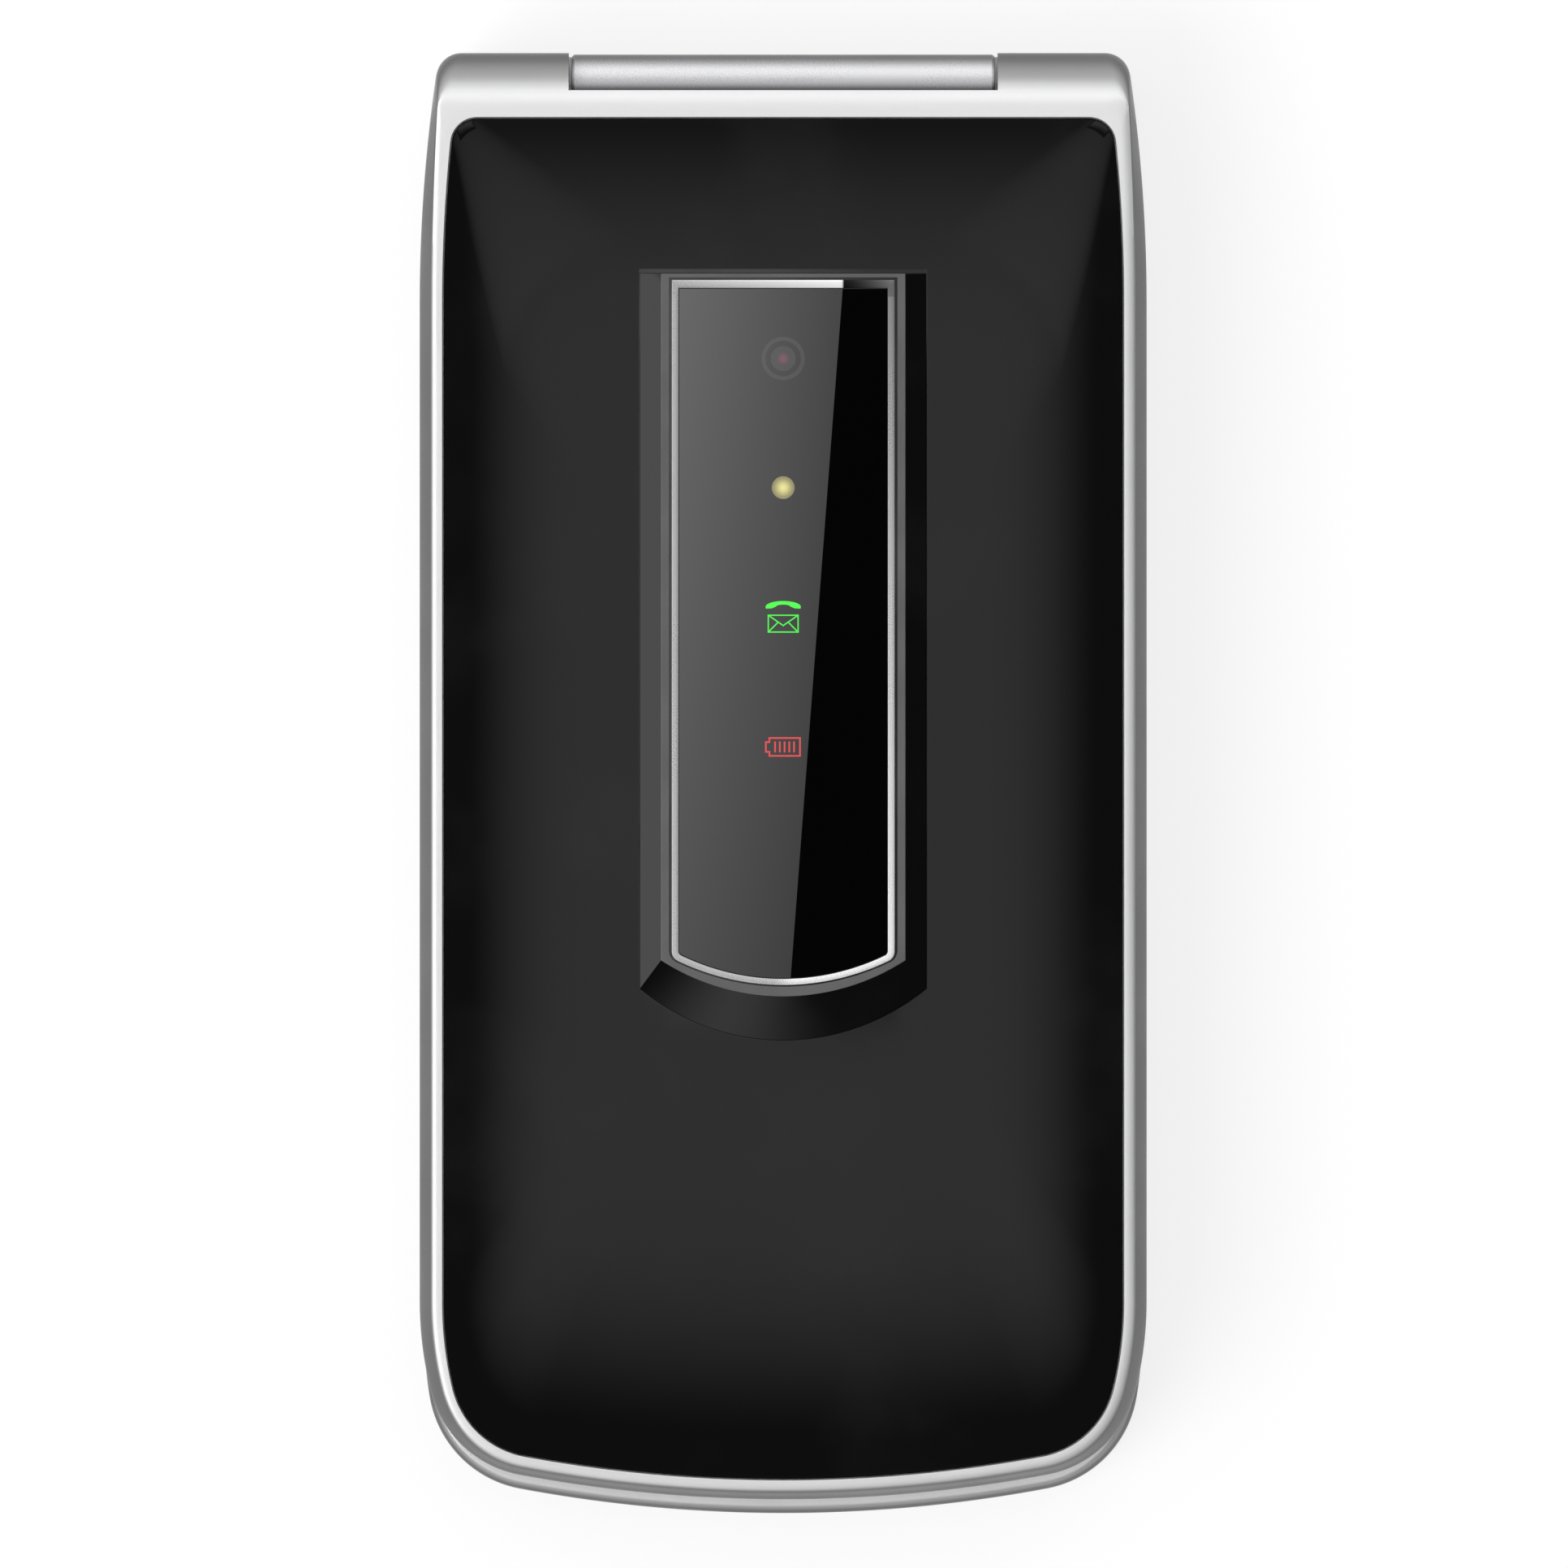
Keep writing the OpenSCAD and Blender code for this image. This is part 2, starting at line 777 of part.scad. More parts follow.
module ok_key() {
    color(gloss_black)
    translate([0, nav_y, 0])
    rotate_extrude()
    polygon([
        [0, flange_z], [ok_flange_r, flange_z], [ok_flange_r, flange_z + 0.5],
        [ok_r, flange_z + 0.5], [ok_r, base_top_z - 0.15], [ok_r - 0.2, base_top_z + 0.05],
        [0, base_top_z + 0.05]
    ]);
}

module volume_rocker() {
    color(silver) {
        rocker_shape(rocker_half, rocker_r, rocker_x0, rocker_x1);
        disc(rocker_x1, rocker_y, 0.45, rocker_z - rocker_r, rocker_z + rocker_r);
    }
}

module sos_button() {
    color("#d8501e")
    translate([sos_pos.x, sos_pos.y, 0])
    rotate_extrude()
    polygon([
        [0, 0.25], [sos_r - 0.3, 0.25], [sos_r, 0.55], [sos_r, floor_z + 0.15],
        [sos_r + 0.8, floor_z + 0.15], [sos_r + 0.8, floor_z + 0.65], [1.2, floor_z + 0.65],
        [1.2, board_z - 0.6], [0, board_z - 0.6]
    ]);
}

// ---- hinge ----

module hinge_barrel() {
    color(barrel_silver)
    difference() {
        hinge_rod(barrel_r, -barrel_hw, barrel_hw);
        hinge_rod(cartridge_r + 0.05, -barrel_hw - 1, -1);
        hinge_rod(cartridge_r, 1, 13.5);
        hinge_rod(sleeve_r + 0.05, 13.4, barrel_hw + 1);
        block(flex_x0, flex_x1, flex_slot_y, flex_slot_y + flex_slot_w,
              hinge_z - barrel_r - 1, hinge_z - 2);
    }
}

module hinge_cartridge_case() {
    color(steel)
    difference() {
        hinge_rod(cartridge_r, -15.4, -1.2);
        hinge_rod(cartridge_bore_r, -14.6, -2);
        hinge_rod(shaft_r + 0.05, -16, -14);
    }
}

// Compression spring of the cartridge: one wire wound about the hinge axis
module hinge_cartridge_spring() {
    spring_x0 = -8.5;
    spring_x1 = -2.5;
    turns = 5;
    coil_r = 1.7;
    wire_r = 0.25;
    sides = 6;
    steps = 8 * turns;
    pitch = (spring_x1 - spring_x0) / turns;
    echo(spring_gap = pitch - 2 * wire_r);
    color(steel)
    loft([
        for (k = [0 : steps])
            let (
                turn = 360 * turns * k / steps,
                out = [0, cos(turn), sin(turn)],
                centre = [spring_x0 + pitch * turns * k / steps, hinge_y, hinge_z] + coil_r * out
            )
            [
                for (i = [0 : sides - 1])
                    centre + wire_r * (cos(360 * i / sides) * [1, 0, 0] + sin(360 * i / sides) * out)
            ]
    ]);
}

module hinge_flex() {
    riser_y = flex_slot_y + (flex_slot_w - flex_t) / 2;
    coil_r = 2.4;
    color("#b06a24")
    union() {
        block(flex_x0 + 0.5, flex_x1 - 0.5, board_y - 2, riser_y + flex_t,
              board_top_z, board_top_z + flex_t);
        block(flex_x0 + 0.5, flex_x1 - 0.5, riser_y, riser_y + flex_t, board_top_z, hinge_z - 1.9);
        difference() {
            hinge_rod(coil_r, flex_x0 + 0.5, flex_x1 - 0.5);
            hinge_rod(coil_r - flex_t, flex_x0, flex_x1);
            block(flex_x0, flex_x1, hinge_y, hinge_y + 5, hinge_z - 5, hinge_z);
        }
    }
}

// Shaft that the lid turns with, and its cam with a detent notch
module hinge_cam_shaft() {
    color(steel)
    difference() {
        union() {
            hinge_rod(shaft_r, -20.5, -9.5);
            hinge_rod(cartridge_bore_r - 0.05, -11.2, -9);
        }
        block(-9.6, -8, hinge_y - 0.6, hinge_y + 0.6, hinge_z - 3, hinge_z + 3);
    }
}

module hinge_sleeve() {
    color(barrel_silver)
    difference() {
        hinge_rod(sleeve_r, 12.2, 22);
        hinge_rod(sleeve_r - 0.7, 11, 23);
    }
}

// ---- lid ----

// Steep shoulder of the lid's side: how far the outline has drawn in at height z
function draw_in(z) =
    round_w * pow(max(z - round_z, 0) / (lid_top_z - round_z), round_power);

module lid_frame_shell() {
    low_angle = asin((lid_split_z - lid_end_z) / knuckle_r);
    round_angle = asin((round_z - lid_end_z) / knuckle_r);
    loft([
        for (a = [low_angle, 0, round_angle, 30, 42, 54, 66, 78, 90])
            let (
                z = lid_end_z + knuckle_r * sin(a),
                inset = draw_in(z)
            )
            at_height(
                lid_outline(inset, hinge_y + knuckle_r * cos(a), inset / round_w),
                z
            )
    ]);
}

// Hub of the lid on one side of the barrel, with a rounded outer end
module knuckle() {
    x0 = notch_hw - 1;
    flat = knuckle_r - knuckle_round;
    translate([x0, hinge_y, hinge_z]) rotate([0, 90, 0])
    rotate_extrude()
    polygon(concat(
        [[0, 0], [knuckle_r, 0]],
        [
            for (a = [0 : 15 : 90])
                [flat, knuckle_end_x - x0 - knuckle_round] + knuckle_round * [cos(a), sin(a)]
        ],
        [[0, knuckle_end_x - x0]]
    ));
}

module lid_frame() {
    color(silver)
    difference() {
        union() {
            difference() {
                lid_frame_shell();
                prism(lid_outline(shell_wall, lid_room_y), lid_split_z - 1, lid_roof_z);
                prism(panel_outline(1.3), lid_roof_z - 0.1, panel_seat_z + 0.05);
                prism(panel_outline(-0.05), panel_seat_z, lid_top_z + 1);
            }
            for (p = [free_bumpers, hinge_bumpers])
                both_sides(p) disc(0, 0, 1.9, lid_split_z + 0.1, lid_roof_z + 0.1);
            knuckle();
            mirror([1, 0, 0]) knuckle();
        }
        block(-notch_hw, notch_hw, notch_y, y_end + 1, hinge_z - 6, lid_top_z + 1);
        hinge_rod(lid_over_barrel_r, -notch_hw, notch_hw);
        hinge_rod(shaft_r + 0.02, -20.6, -notch_hw + 0.1);
        hinge_rod(sleeve_r + 0.02, notch_hw - 0.1, 22.1);
        for (p = [free_bumpers, hinge_bumpers])
            both_sides(p) disc(0, 0, lid_screw_r + 0.02, lid_split_z - 1, lid_roof_z - 0.6);
    }
}

module lid_inner_housing() {
    color(silver)
    difference() {
        loft([
            for (s = [[lid_z, 0.5], [lid_z + 0.2, 0.2], [lid_z + 0.6, 0], [lid_split_z, 0]])
                at_height(lid_outline(s[1], inner_y - s[1]), s[0])
        ]);
        prism(rounded_rect(0, window_y, window_w + 0.2, window_l + 0.2, 2.1),
              lid_z - 1, display_z - 0.15);
        block(-display_w / 2 - fit, display_w / 2 + fit, display_y - display_l / 2 - fit,
              display_y + display_l / 2 + fit, lid_z, lid_split_z + 1);
        // earpiece room and the slot of its mesh
        block(-7.6, 7.6, earpiece_y - 3.1, earpiece_y + 3.1, lid_z + 0.7, lid_split_z + 1);
        block(-5.6, 5.6, earpiece_y - 0.9, earpiece_y + 0.9, lid_z, lid_z + 1);
        prism(rounded_rect(0, earpiece_y, 12, 2.6, 1.25), lid_z - 1, lid_z + 0.45);
        // hollows at the free end and at the hinge end
        for (x = [-18.5, 9]) block(x, x + 9.5, -47.5, -39.2, lid_z + 1.1, lid_split_z + 1);
        block(-18.5, 18.5, 33.5, 43.2, lid_z + 1.1, lid_split_z + 1);
        for (p = [free_bumpers, hinge_bumpers]) {
            both_sides(p) disc(0, 0, bumper_r + 0.1, lid_z - 1, lid_z + 1.45);
            both_sides(p) disc(0, 0, lid_screw_r + 0.1, lid_z, lid_split_z + 1);
        }
    }
}

// Glossy panel: a low crown that falls away faster near its edge
module lid_cover_panel() {
    centre = [0, (panel_y0 + panel_y1) / 2];
    edge = panel_outline(0);
    color(gloss_black)
    difference() {
        loft(concat(
            [at_height(edge, panel_z)],
            [
                for (s = [1, 0.97, 0.93, 0.88, 0.82, 0.74, 0.62, 0.45, 0.2])
                    at_height(scaled(edge, centre, s), panel_edge_z + panel_crown * (1 - pow(s, 5)))
            ]
        ));
        prism(strip_outline(surround_foot, -0.05), panel_z - 1, surround_top_z);
    }
}

module window_surround() {
    color(gloss_black)
    difference() {
        union() {
            prism(strip_outline(surround_foot, -1), panel_seat_z - 0.65, panel_seat_z);
            loft([
                at_height(strip_outline(surround_foot), panel_seat_z - 0.1),
                at_height(strip_outline(surround_foot), surround_shoulder_z),
                at_height(strip_outline(surround_lip), surround_top_z)
            ]);
        }
        prism(strip_outline(trim_edge, -0.11), glass_z, surround_top_z + 1);
        prism(strip_outline(trim_edge, 1.54), panel_seat_z - 1, glass_z + 0.1);
    }
}

module window_trim() {
    color(silver)
    difference() {
        prism(strip_outline(trim_edge), glass_z, trim_top_z);
        prism(strip_outline(trim_edge, trim_w), glass_z - 1, trim_top_z + 1);
    }
}

module indicator_window() {
    color("#3c3d40", 0.7) prism(strip_outline(trim_edge, trim_w + 0.05), glass_z, glass_top_z);
}

module camera_module() {
    color("#1d1d20")
    difference() {
        union() {
            block(-3.5, 3.5, camera_y - 3.5, camera_y + 3.5, lid_board_top_z, lid_roof_z);
            disc(0, camera_y, 2.6, lid_roof_z - 0.1, glass_z - 0.3);
        }
        disc(0, camera_y, 1.75, glass_z - 0.9, glass_z);
    }
}

module camera_lens() {
    lens_r = 1.7;
    lens_z = glass_z - 0.85;
    sphere_r = 3.6;
    rise = sphere_r - sqrt(sphere_r * sphere_r - lens_r * lens_r);
    color("#3b2f45")
    translate([0, camera_y, lens_z])
    rotate_extrude()
    polygon(concat(
        [[0, 0], [lens_r, 0]],
        [
            for (i = [0 : 6])
                let (r = lens_r * (1 - i / 6))
                    [r, 0.25 + rise - sphere_r + sqrt(sphere_r * sphere_r - r * r)]
        ]
    ));
}

module flash_led() {
    color("#e6dc9a") {
        block(-1.4, 1.4, flash_y - 1.4, flash_y + 1.4, lid_board_top_z, lid_roof_z);
        disc(0, flash_y, 0.84, lid_roof_z - 0.1, glass_z - 0.2);
    }
}

module indicator_leds() {
    color("#dfe3df") {
        block(-2, 2, call_icon_y - 1.8, call_icon_y + 1.8, lid_board_top_z, glass_z - 0.3);
        block(-2, 2, battery_icon_y - 1.3, battery_icon_y + 1.3, lid_board_top_z, glass_z - 0.3);
    }
}

module lid_circuit_board() {
    color(board_green)
    prism(rounded_rect(0, 1.5, 40, 79, 1.5), lid_board_z, lid_board_top_z);
}

module display_module() {
    color("#2b2d31")
    block(-display_w / 2, display_w / 2, display_y - display_l / 2, display_y + display_l / 2,
          display_z, display_z + display_t);
}

module display_window() {
    color("#101114")
    prism(rounded_rect(0, window_y, window_w, window_l, 2),
          display_window_z, display_window_z + display_window_t);
}

module earpiece_speaker() {
    color("#303235")
    prism(rounded_rect(0, earpiece_y, 15, 6, 1.2), lid_z + 1.1, lid_z + 3.9);
}

module earpiece_mesh() {
    color(steel)
    prism(rounded_rect(0, earpiece_y, 11.8, 2.4, 1.15), lid_z + 0.1, lid_z + 0.4);
}

module lid_bumpers() {
    color("#3a3b3d") {
        both_sides(free_bumpers) disc(0, 0, bumper_r, faceplate_top_z + 0.1, lid_z + 0.5);
        both_sides(hinge_bumpers) disc(0, 0, bumper_r, base_top_z + 0.1, lid_z + 0.5);
    }
}

module lid_screws() {
    color(steel)
    for (p = [free_bumpers, hinge_bumpers]) {
        both_sides(p) disc(0, 0, bumper_r, lid_z + 0.6, lid_z + 1.4);
        both_sides(p) disc(0, 0, lid_screw_r, lid_z + 1.3, lid_roof_z - 0.8);
    }
}

base_front_housing();
base_rear_housing();
keypad_faceplate();
dome_sheet();
main_circuit_board();
battery();
battery_contacts();
sim_card_holder();
ringer_speaker();
vibration_motor();
microphone();
usb_port();
headphone_jack();
dock_contacts();
hinge_barrel();
hinge_cartridge_case();
hinge_cartridge_spring();
hinge_flex();
base_screws();
battery_cover();
key_1();
key_2();
key_3();
key_4();
key_5();
key_6();
key_7();
key_8();
key_9();
key_star();
key_0();
key_hash();
soft_key_left();
soft_key_right();
call_key();
end_key();
navigation_pivot();
navigation_ring();
ok_key();
volume_rocker();
sos_button();
lid_frame();
lid_inner_housing();
lid_cover_panel();
window_surround();
window_trim();
indicator_window();
camera_module();
camera_lens();
flash_led();
indicator_leds();
lid_circuit_board();
display_module();
display_window();
earpiece_speaker();
earpiece_mesh();
lid_bumpers();
lid_screws();
hinge_cam_shaft();
hinge_sleeve();
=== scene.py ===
import math

import bmesh
import bpy
from mathutils import Matrix, Vector


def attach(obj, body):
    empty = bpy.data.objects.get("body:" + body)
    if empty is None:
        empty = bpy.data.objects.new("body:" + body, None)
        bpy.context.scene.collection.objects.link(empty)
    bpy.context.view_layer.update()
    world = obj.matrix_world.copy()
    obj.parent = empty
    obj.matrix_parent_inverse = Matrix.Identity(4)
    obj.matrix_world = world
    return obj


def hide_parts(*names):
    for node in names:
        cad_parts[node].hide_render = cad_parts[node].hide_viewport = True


# A closed clamshell phone on its back. Sizes below are in millimetres, in the frame of the CAD
# part: X across, Y from the rounded end to the hinge, Z up through the lid.
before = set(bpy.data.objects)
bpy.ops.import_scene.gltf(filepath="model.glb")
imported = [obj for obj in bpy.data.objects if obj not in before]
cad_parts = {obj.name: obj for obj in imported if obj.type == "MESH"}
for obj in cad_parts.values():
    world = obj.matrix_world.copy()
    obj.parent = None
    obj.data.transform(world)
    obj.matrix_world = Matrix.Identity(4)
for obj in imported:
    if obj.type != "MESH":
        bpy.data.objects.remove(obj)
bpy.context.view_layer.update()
mm = 0.001
print("frame loaded:", len(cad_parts), "nodes")


# Plan outlines are lists of points, anticlockwise

def arc(centre, r, a0, a1, n):
    points = []
    for i in range(1, n + 1):
        a = math.radians(a0 + (a1 - a0) * i / n)
        points.append((centre[0] + r * math.cos(a), centre[1] + r * math.sin(a)))
    return points


def mirrored(points):
    return [(-x, y) for x, y in reversed(points)]


def crossing(c1, d1, c2, d2):  # where two circles cross, right of the line c1 to c2
    dx, dy = c2[0] - c1[0], c2[1] - c1[1]
    d = math.hypot(dx, dy)
    a = (d1 * d1 - d2 * d2 + d * d) / (2 * d)
    h = math.sqrt(d1 * d1 - a * a)
    return (c1[0] + (a * dx - h * dy) / d, c1[1] + (a * dy + h * dx) / d)


def angleOf(c, p):
    return math.degrees(math.atan2(p[1] - c[1], p[0] - c[0]))


plan = dict(endR=106, sideR=27, sideTop=35.6, taperL=16.8, taper=1.2, fade=0.67, hingeR=1.9, fine=2)


def phoneOutline(hw, yBot, yLow, rLow, inset, yTop, flare=0, hingeR=None):
    k = plan["fine"]
    endR, sideR = plan["endR"], plan["sideR"]
    c1, c3 = (0, yBot + endR), (hw - sideR, yLow)
    c2 = crossing(c1, endR - rLow, c3, sideR - rLow)
    a1, a2 = angleOf(c1, c2), angleOf(c3, c2)
    r4 = plan["taperL"] ** 2 / (2 * (plan["taper"] - plan["fade"] * flare))
    c4 = (hw - r4, plan["sideTop"])
    r5 = max(plan["hingeR"] - inset, 0.3) if hingeR is None else hingeR
    y5 = yTop - r5
    c5 = (c4[0] + math.sqrt((r4 - inset - r5) ** 2 - (y5 - c4[1]) ** 2), y5)
    half = (
        arc(c1, endR - inset, -90, a1, 9 * k)
        + arc(c2, rLow - inset, a1, a2, 11 * k)
        + arc(c3, sideR - inset, a2, 0, 6 * k)
        + [(hw - inset, -10), (hw - inset, 15), (hw - inset, plan["sideTop"])]
        + arc(c4, r4 - inset, 0, angleOf(c4, c5), 7 * k)
        + arc(c5, r5, angleOf(c4, c5), 90, 6 * k)
    )
    return [(0, yBot + inset)] + half + mirrored(half)


def baseOutline(inset, yTop=53.9):
    return phoneOutline(26.6, -54.1, -41, 8.3, inset, min(yTop, 53.9 - inset))


def lidOutline(inset, yTop=54.1, flare=0, hingeR=None):
    return phoneOutline(26.9, -52.95, -38.3, 8.3, inset, yTop, flare, hingeR)


def panelOutline(inset):
    return phoneOutline(25.1, -51.4, -38.4, 6.6, inset, 49.18 - inset)


def roundedRect(x, y, w, h, r, n=8):
    right = (arc((w / 2 - r, r - h / 2), r, -90 - 90 / n, 0, n + 1)
             + arc((w / 2 - r, h / 2 - r), r, -90 / n, 90, n + 1))
    return [(px + x, py + y) for px, py in right + mirrored(right)]


# Outline of the indicator strip: half width, hinge-side y, rounded-end y, radius, and the
# radius of its two low corners
def stripOutline(s, inset=0, corner=0.0):
    hw, r, yLow = s[0] - inset, s[3] - inset, s[2] + inset
    top = s[1] - inset
    c = max(corner - inset * 0.5, 0.02)
    centre = (0, yLow + r)
    cx = hw - c
    cy = centre[1] - math.sqrt((r - c) ** 2 - cx * cx)
    turn = angleOf(centre, (cx, cy))
    half = arc(centre, r, -90, turn, 22) + arc((cx, cy), c, turn, 0, 7) + [(hw, 0), (hw, top - 1)]
    half += arc((hw - 0.03, top - 0.03), 0.03, 0, 90, 2)
    return [(0, yLow)] + half + mirrored(half)


# Meshes are made from outlines and profiles, and are closed

def makeObject(name, verts, faces):
    mesh = bpy.data.meshes.new(name)
    mesh.from_pydata([(x * mm, y * mm, z * mm) for x, y, z in verts], [], faces)
    mesh.validate()
    obj = bpy.data.objects.new(name, mesh)
    bpy.context.scene.collection.objects.link(obj)
    return obj


def loft(name, rings, capLow=True, capHigh=True):  # rings run anticlockwise, lowest first
    n = len(rings[0])
    verts = [p for ring in rings for p in ring]
    faces = []
    for k in range(len(rings) - 1):
        for i in range(n):
            j = (i + 1) % n
            faces.append((k * n + i, k * n + j, k * n + n + j, k * n + n + i))
    if capLow:
        faces.append(tuple(range(n - 1, -1, -1)))
    if capHigh:
        faces.append(tuple(range(len(verts) - n, len(verts))))
    return makeObject(name, verts, faces)


def atHeight(points, z):
    return [(x, y, z) for x, y in points]


def prism(points, z0, z1, name="prism"):
    return loft(name, [atHeight(points, z0), atHeight(points, z1)])


def block(x0, x1, y0, y1, z0, z1):
    return prism([(x0, y0), (x1, y0), (x1, y1), (x0, y1)], z0, z1)


def circle(x, y, r, n=64):
    return [(x + r * math.cos(2 * math.pi * i / n), y + r * math.sin(2 * math.pi * i / n)) for i in range(n)]


def disc(x, y, r, z0, z1, n=64):
    return prism(circle(x, y, r, n), z0, z1)


def lathe(name, profile, n=96, centre=(0, 0, 0), axis="Z", closed=False):
    # profile is (radius, height) pairs from the bottom of the axis to its top
    rings = []
    for i in range(n):
        a = 2 * math.pi * i / n
        ring = []
        for r, h in profile:
            u, v = r * math.cos(a), r * math.sin(a)
            p = {"X": (h, u, v), "Y": (v, h, u), "Z": (u, v, h)}[axis]
            ring.append((p[0] + centre[0], p[1] + centre[1], p[2] + centre[2]))
        rings.append(ring)
    m = len(profile)
    verts = [p for ring in rings for p in ring]
    faces = []
    for i in range(n):
        j = (i + 1) % n
        for k in range(m if closed else m - 1):
            q = (k + 1) % m
            faces.append((i * m + k, j * m + k, j * m + q, i * m + q))
    obj = makeObject(name, verts, faces)
    return cleaned(obj)


def cleaned(obj):  # welds doubled points and turns all faces outwards
    bm = bmesh.new()
    bm.from_mesh(obj.data)
    bmesh.ops.remove_doubles(bm, verts=bm.verts, dist=1e-7)
    bmesh.ops.dissolve_degenerate(bm, edges=bm.edges, dist=1e-8)
    bmesh.ops.recalc_face_normals(bm, faces=bm.faces)
    bm.to_mesh(obj.data)
    bm.free()
    return obj


def rodX(y, z, r, x0, x1, n=96):
    return lathe("rod", [(0, x0), (r, x0), (r, x1), (0, x1)], n, (0, y, z), "X")


def applied(obj):  # keeps what the modifiers make, as the object's own mesh
    bpy.context.view_layer.update()
    graph = bpy.context.evaluated_depsgraph_get()
    mesh = bpy.data.meshes.new_from_object(obj.evaluated_get(graph))
    obj.modifiers.clear()
    obj.data = mesh
    return obj


def shaped(obj, cut=(), add=()):
    tools = [(t, "UNION") for t in add] + [(t, "DIFFERENCE") for t in cut]
    for tool, operation in tools:
        m = obj.modifiers.new("shape", "BOOLEAN")
        m.operation, m.object, m.solver = operation, tool, "EXACT"
        tool.hide_render = True
    applied(obj)
    for tool, _ in tools:
        bpy.data.objects.remove(tool)
    return obj


def softened(obj, width, segments=2, angle=40):
    m = obj.modifiers.new("soft edges", "BEVEL")
    m.width, m.segments, m.limit_method = width * mm, segments, "ANGLE"
    m.angle_limit = math.radians(angle)
    m.use_clamp_overlap = True
    m.miter_outer = "MITER_ARC"
    return applied(obj)


def joined(name, objs):
    verts, faces = [], []
    for o in objs:
        start = len(verts)
        verts += [tuple(c / mm for c in (o.matrix_world @ v.co)) for v in o.data.vertices]
        faces += [tuple(start + i for i in p.vertices) for p in o.data.polygons]
        bpy.data.objects.remove(o)
    return makeObject(name, verts, faces)


def finished(obj, name, body, material, stands=(), angle=32, other=None):
    # other is (material, test of a face's centre and normal) for a second finish
    obj.name = name
    obj.data.name = name
    obj.data.materials.clear()
    obj.data.materials.append(material)
    if other:
        obj.data.materials.append(other[0])
        for p in obj.data.polygons:
            c = p.center / mm
            p.material_index = 1 if other[1](c, p.normal) else 0
    else:
        for p in obj.data.polygons:
            p.material_index = 0
    obj.data.shade_smooth()
    obj.data.set_sharp_from_angle(angle=math.radians(angle))
    for p in obj.data.polygons:  # broad level faces stay flat
        if len(p.vertices) > 8 and abs(p.normal.z) > 0.99999:
            p.use_smooth = False
    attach(obj, body)
    if stands:
        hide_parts(*stands)
    return obj


# Shader helpers: each adds nodes to a tree and returns what they give

def calc(tree, operation, *inputs, clamp=False):
    node = tree.nodes.new("ShaderNodeMath")
    node.operation, node.use_clamp = operation, clamp
    for socket, value in zip(node.inputs, inputs):
        if isinstance(value, (int, float)):
            socket.default_value = value
        else:
            tree.links.new(value, socket)
    return node.outputs[0]


def magnitude(tree, value):
    return calc(tree, "ABSOLUTE", value)


def product(tree, first, *others):
    for value in others:
        first = calc(tree, "MULTIPLY", first, value)
    return first


def ramp(tree, value, low, high, toLow=0.0, toHigh=1.0, kind="SMOOTHSTEP"):
    node = tree.nodes.new("ShaderNodeMapRange")
    node.interpolation_type = kind
    tree.links.new(value, node.inputs["Value"])
    for socket, number in (("From Min", low), ("From Max", high), ("To Min", toLow), ("To Max", toHigh)):
        if isinstance(number, (int, float)):
            node.inputs[socket].default_value = number
        else:
            tree.links.new(number, node.inputs[socket])
    return node.outputs["Result"]


def blended(tree, factor, first, second):
    node = tree.nodes.new("ShaderNodeMix")
    node.data_type = "RGBA"
    node.clamp_factor = True
    tree.links.new(factor, node.inputs[0])
    for socket, value in ((node.inputs[6], first), (node.inputs[7], second)):
        if isinstance(value, tuple):
            socket.default_value = (*value, 1)
        else:
            tree.links.new(value, socket)
    return node.outputs[2]


def placed(tree, scale=1000):  # object coordinates, in millimetres unless scaled otherwise
    coord = tree.nodes.new("ShaderNodeTexCoord")
    scaled = tree.nodes.new("ShaderNodeVectorMath")
    scaled.operation = "SCALE"
    scaled.inputs["Scale"].default_value = scale
    tree.links.new(coord.outputs["Object"], scaled.inputs[0])
    return scaled.outputs[0]


def parts(tree, vector):
    node = tree.nodes.new("ShaderNodeSeparateXYZ")
    tree.links.new(vector, node.inputs[0])
    return node.outputs


def newGroup(name, inputs, outputs):
    tree = bpy.data.node_groups.new(name, "ShaderNodeTree")
    kinds = {"colour": "NodeSocketColor", "number": "NodeSocketFloat"}
    for label, kind, value in inputs:
        socket = tree.interface.new_socket(label, in_out="INPUT", socket_type=kinds[kind])
        socket.default_value = (*value, 1) if kind == "colour" else value
    for label, kind in outputs:
        tree.interface.new_socket(label, in_out="OUTPUT", socket_type=kinds[kind])
    return tree, tree.nodes.new("NodeGroupInput").outputs, tree.nodes.new("NodeGroupOutput").inputs


def useGroup(tree, group, **values):
    node = tree.nodes.new("ShaderNodeGroup")
    node.node_tree = group
    for label, value in values.items():
        socket = node.inputs[label]
        if isinstance(value, (int, float)):
            socket.default_value = value
        elif isinstance(value, tuple):
            socket.default_value = (*value, 1)
        else:
            tree.links.new(value, socket)
    return node.outputs


def noise(tree, vector, scale, detail=2.0, roughness=0.5):
    node = tree.nodes.new("ShaderNodeTexNoise")
    tree.links.new(vector, node.inputs["Vector"])
    for label, value in (("Scale", scale), ("Detail", detail), ("Roughness", roughness)):
        if isinstance(value, (int, float)):
            node.inputs[label].default_value = value
        else:
            tree.links.new(value, node.inputs[label])
    return node.outputs["Fac"]


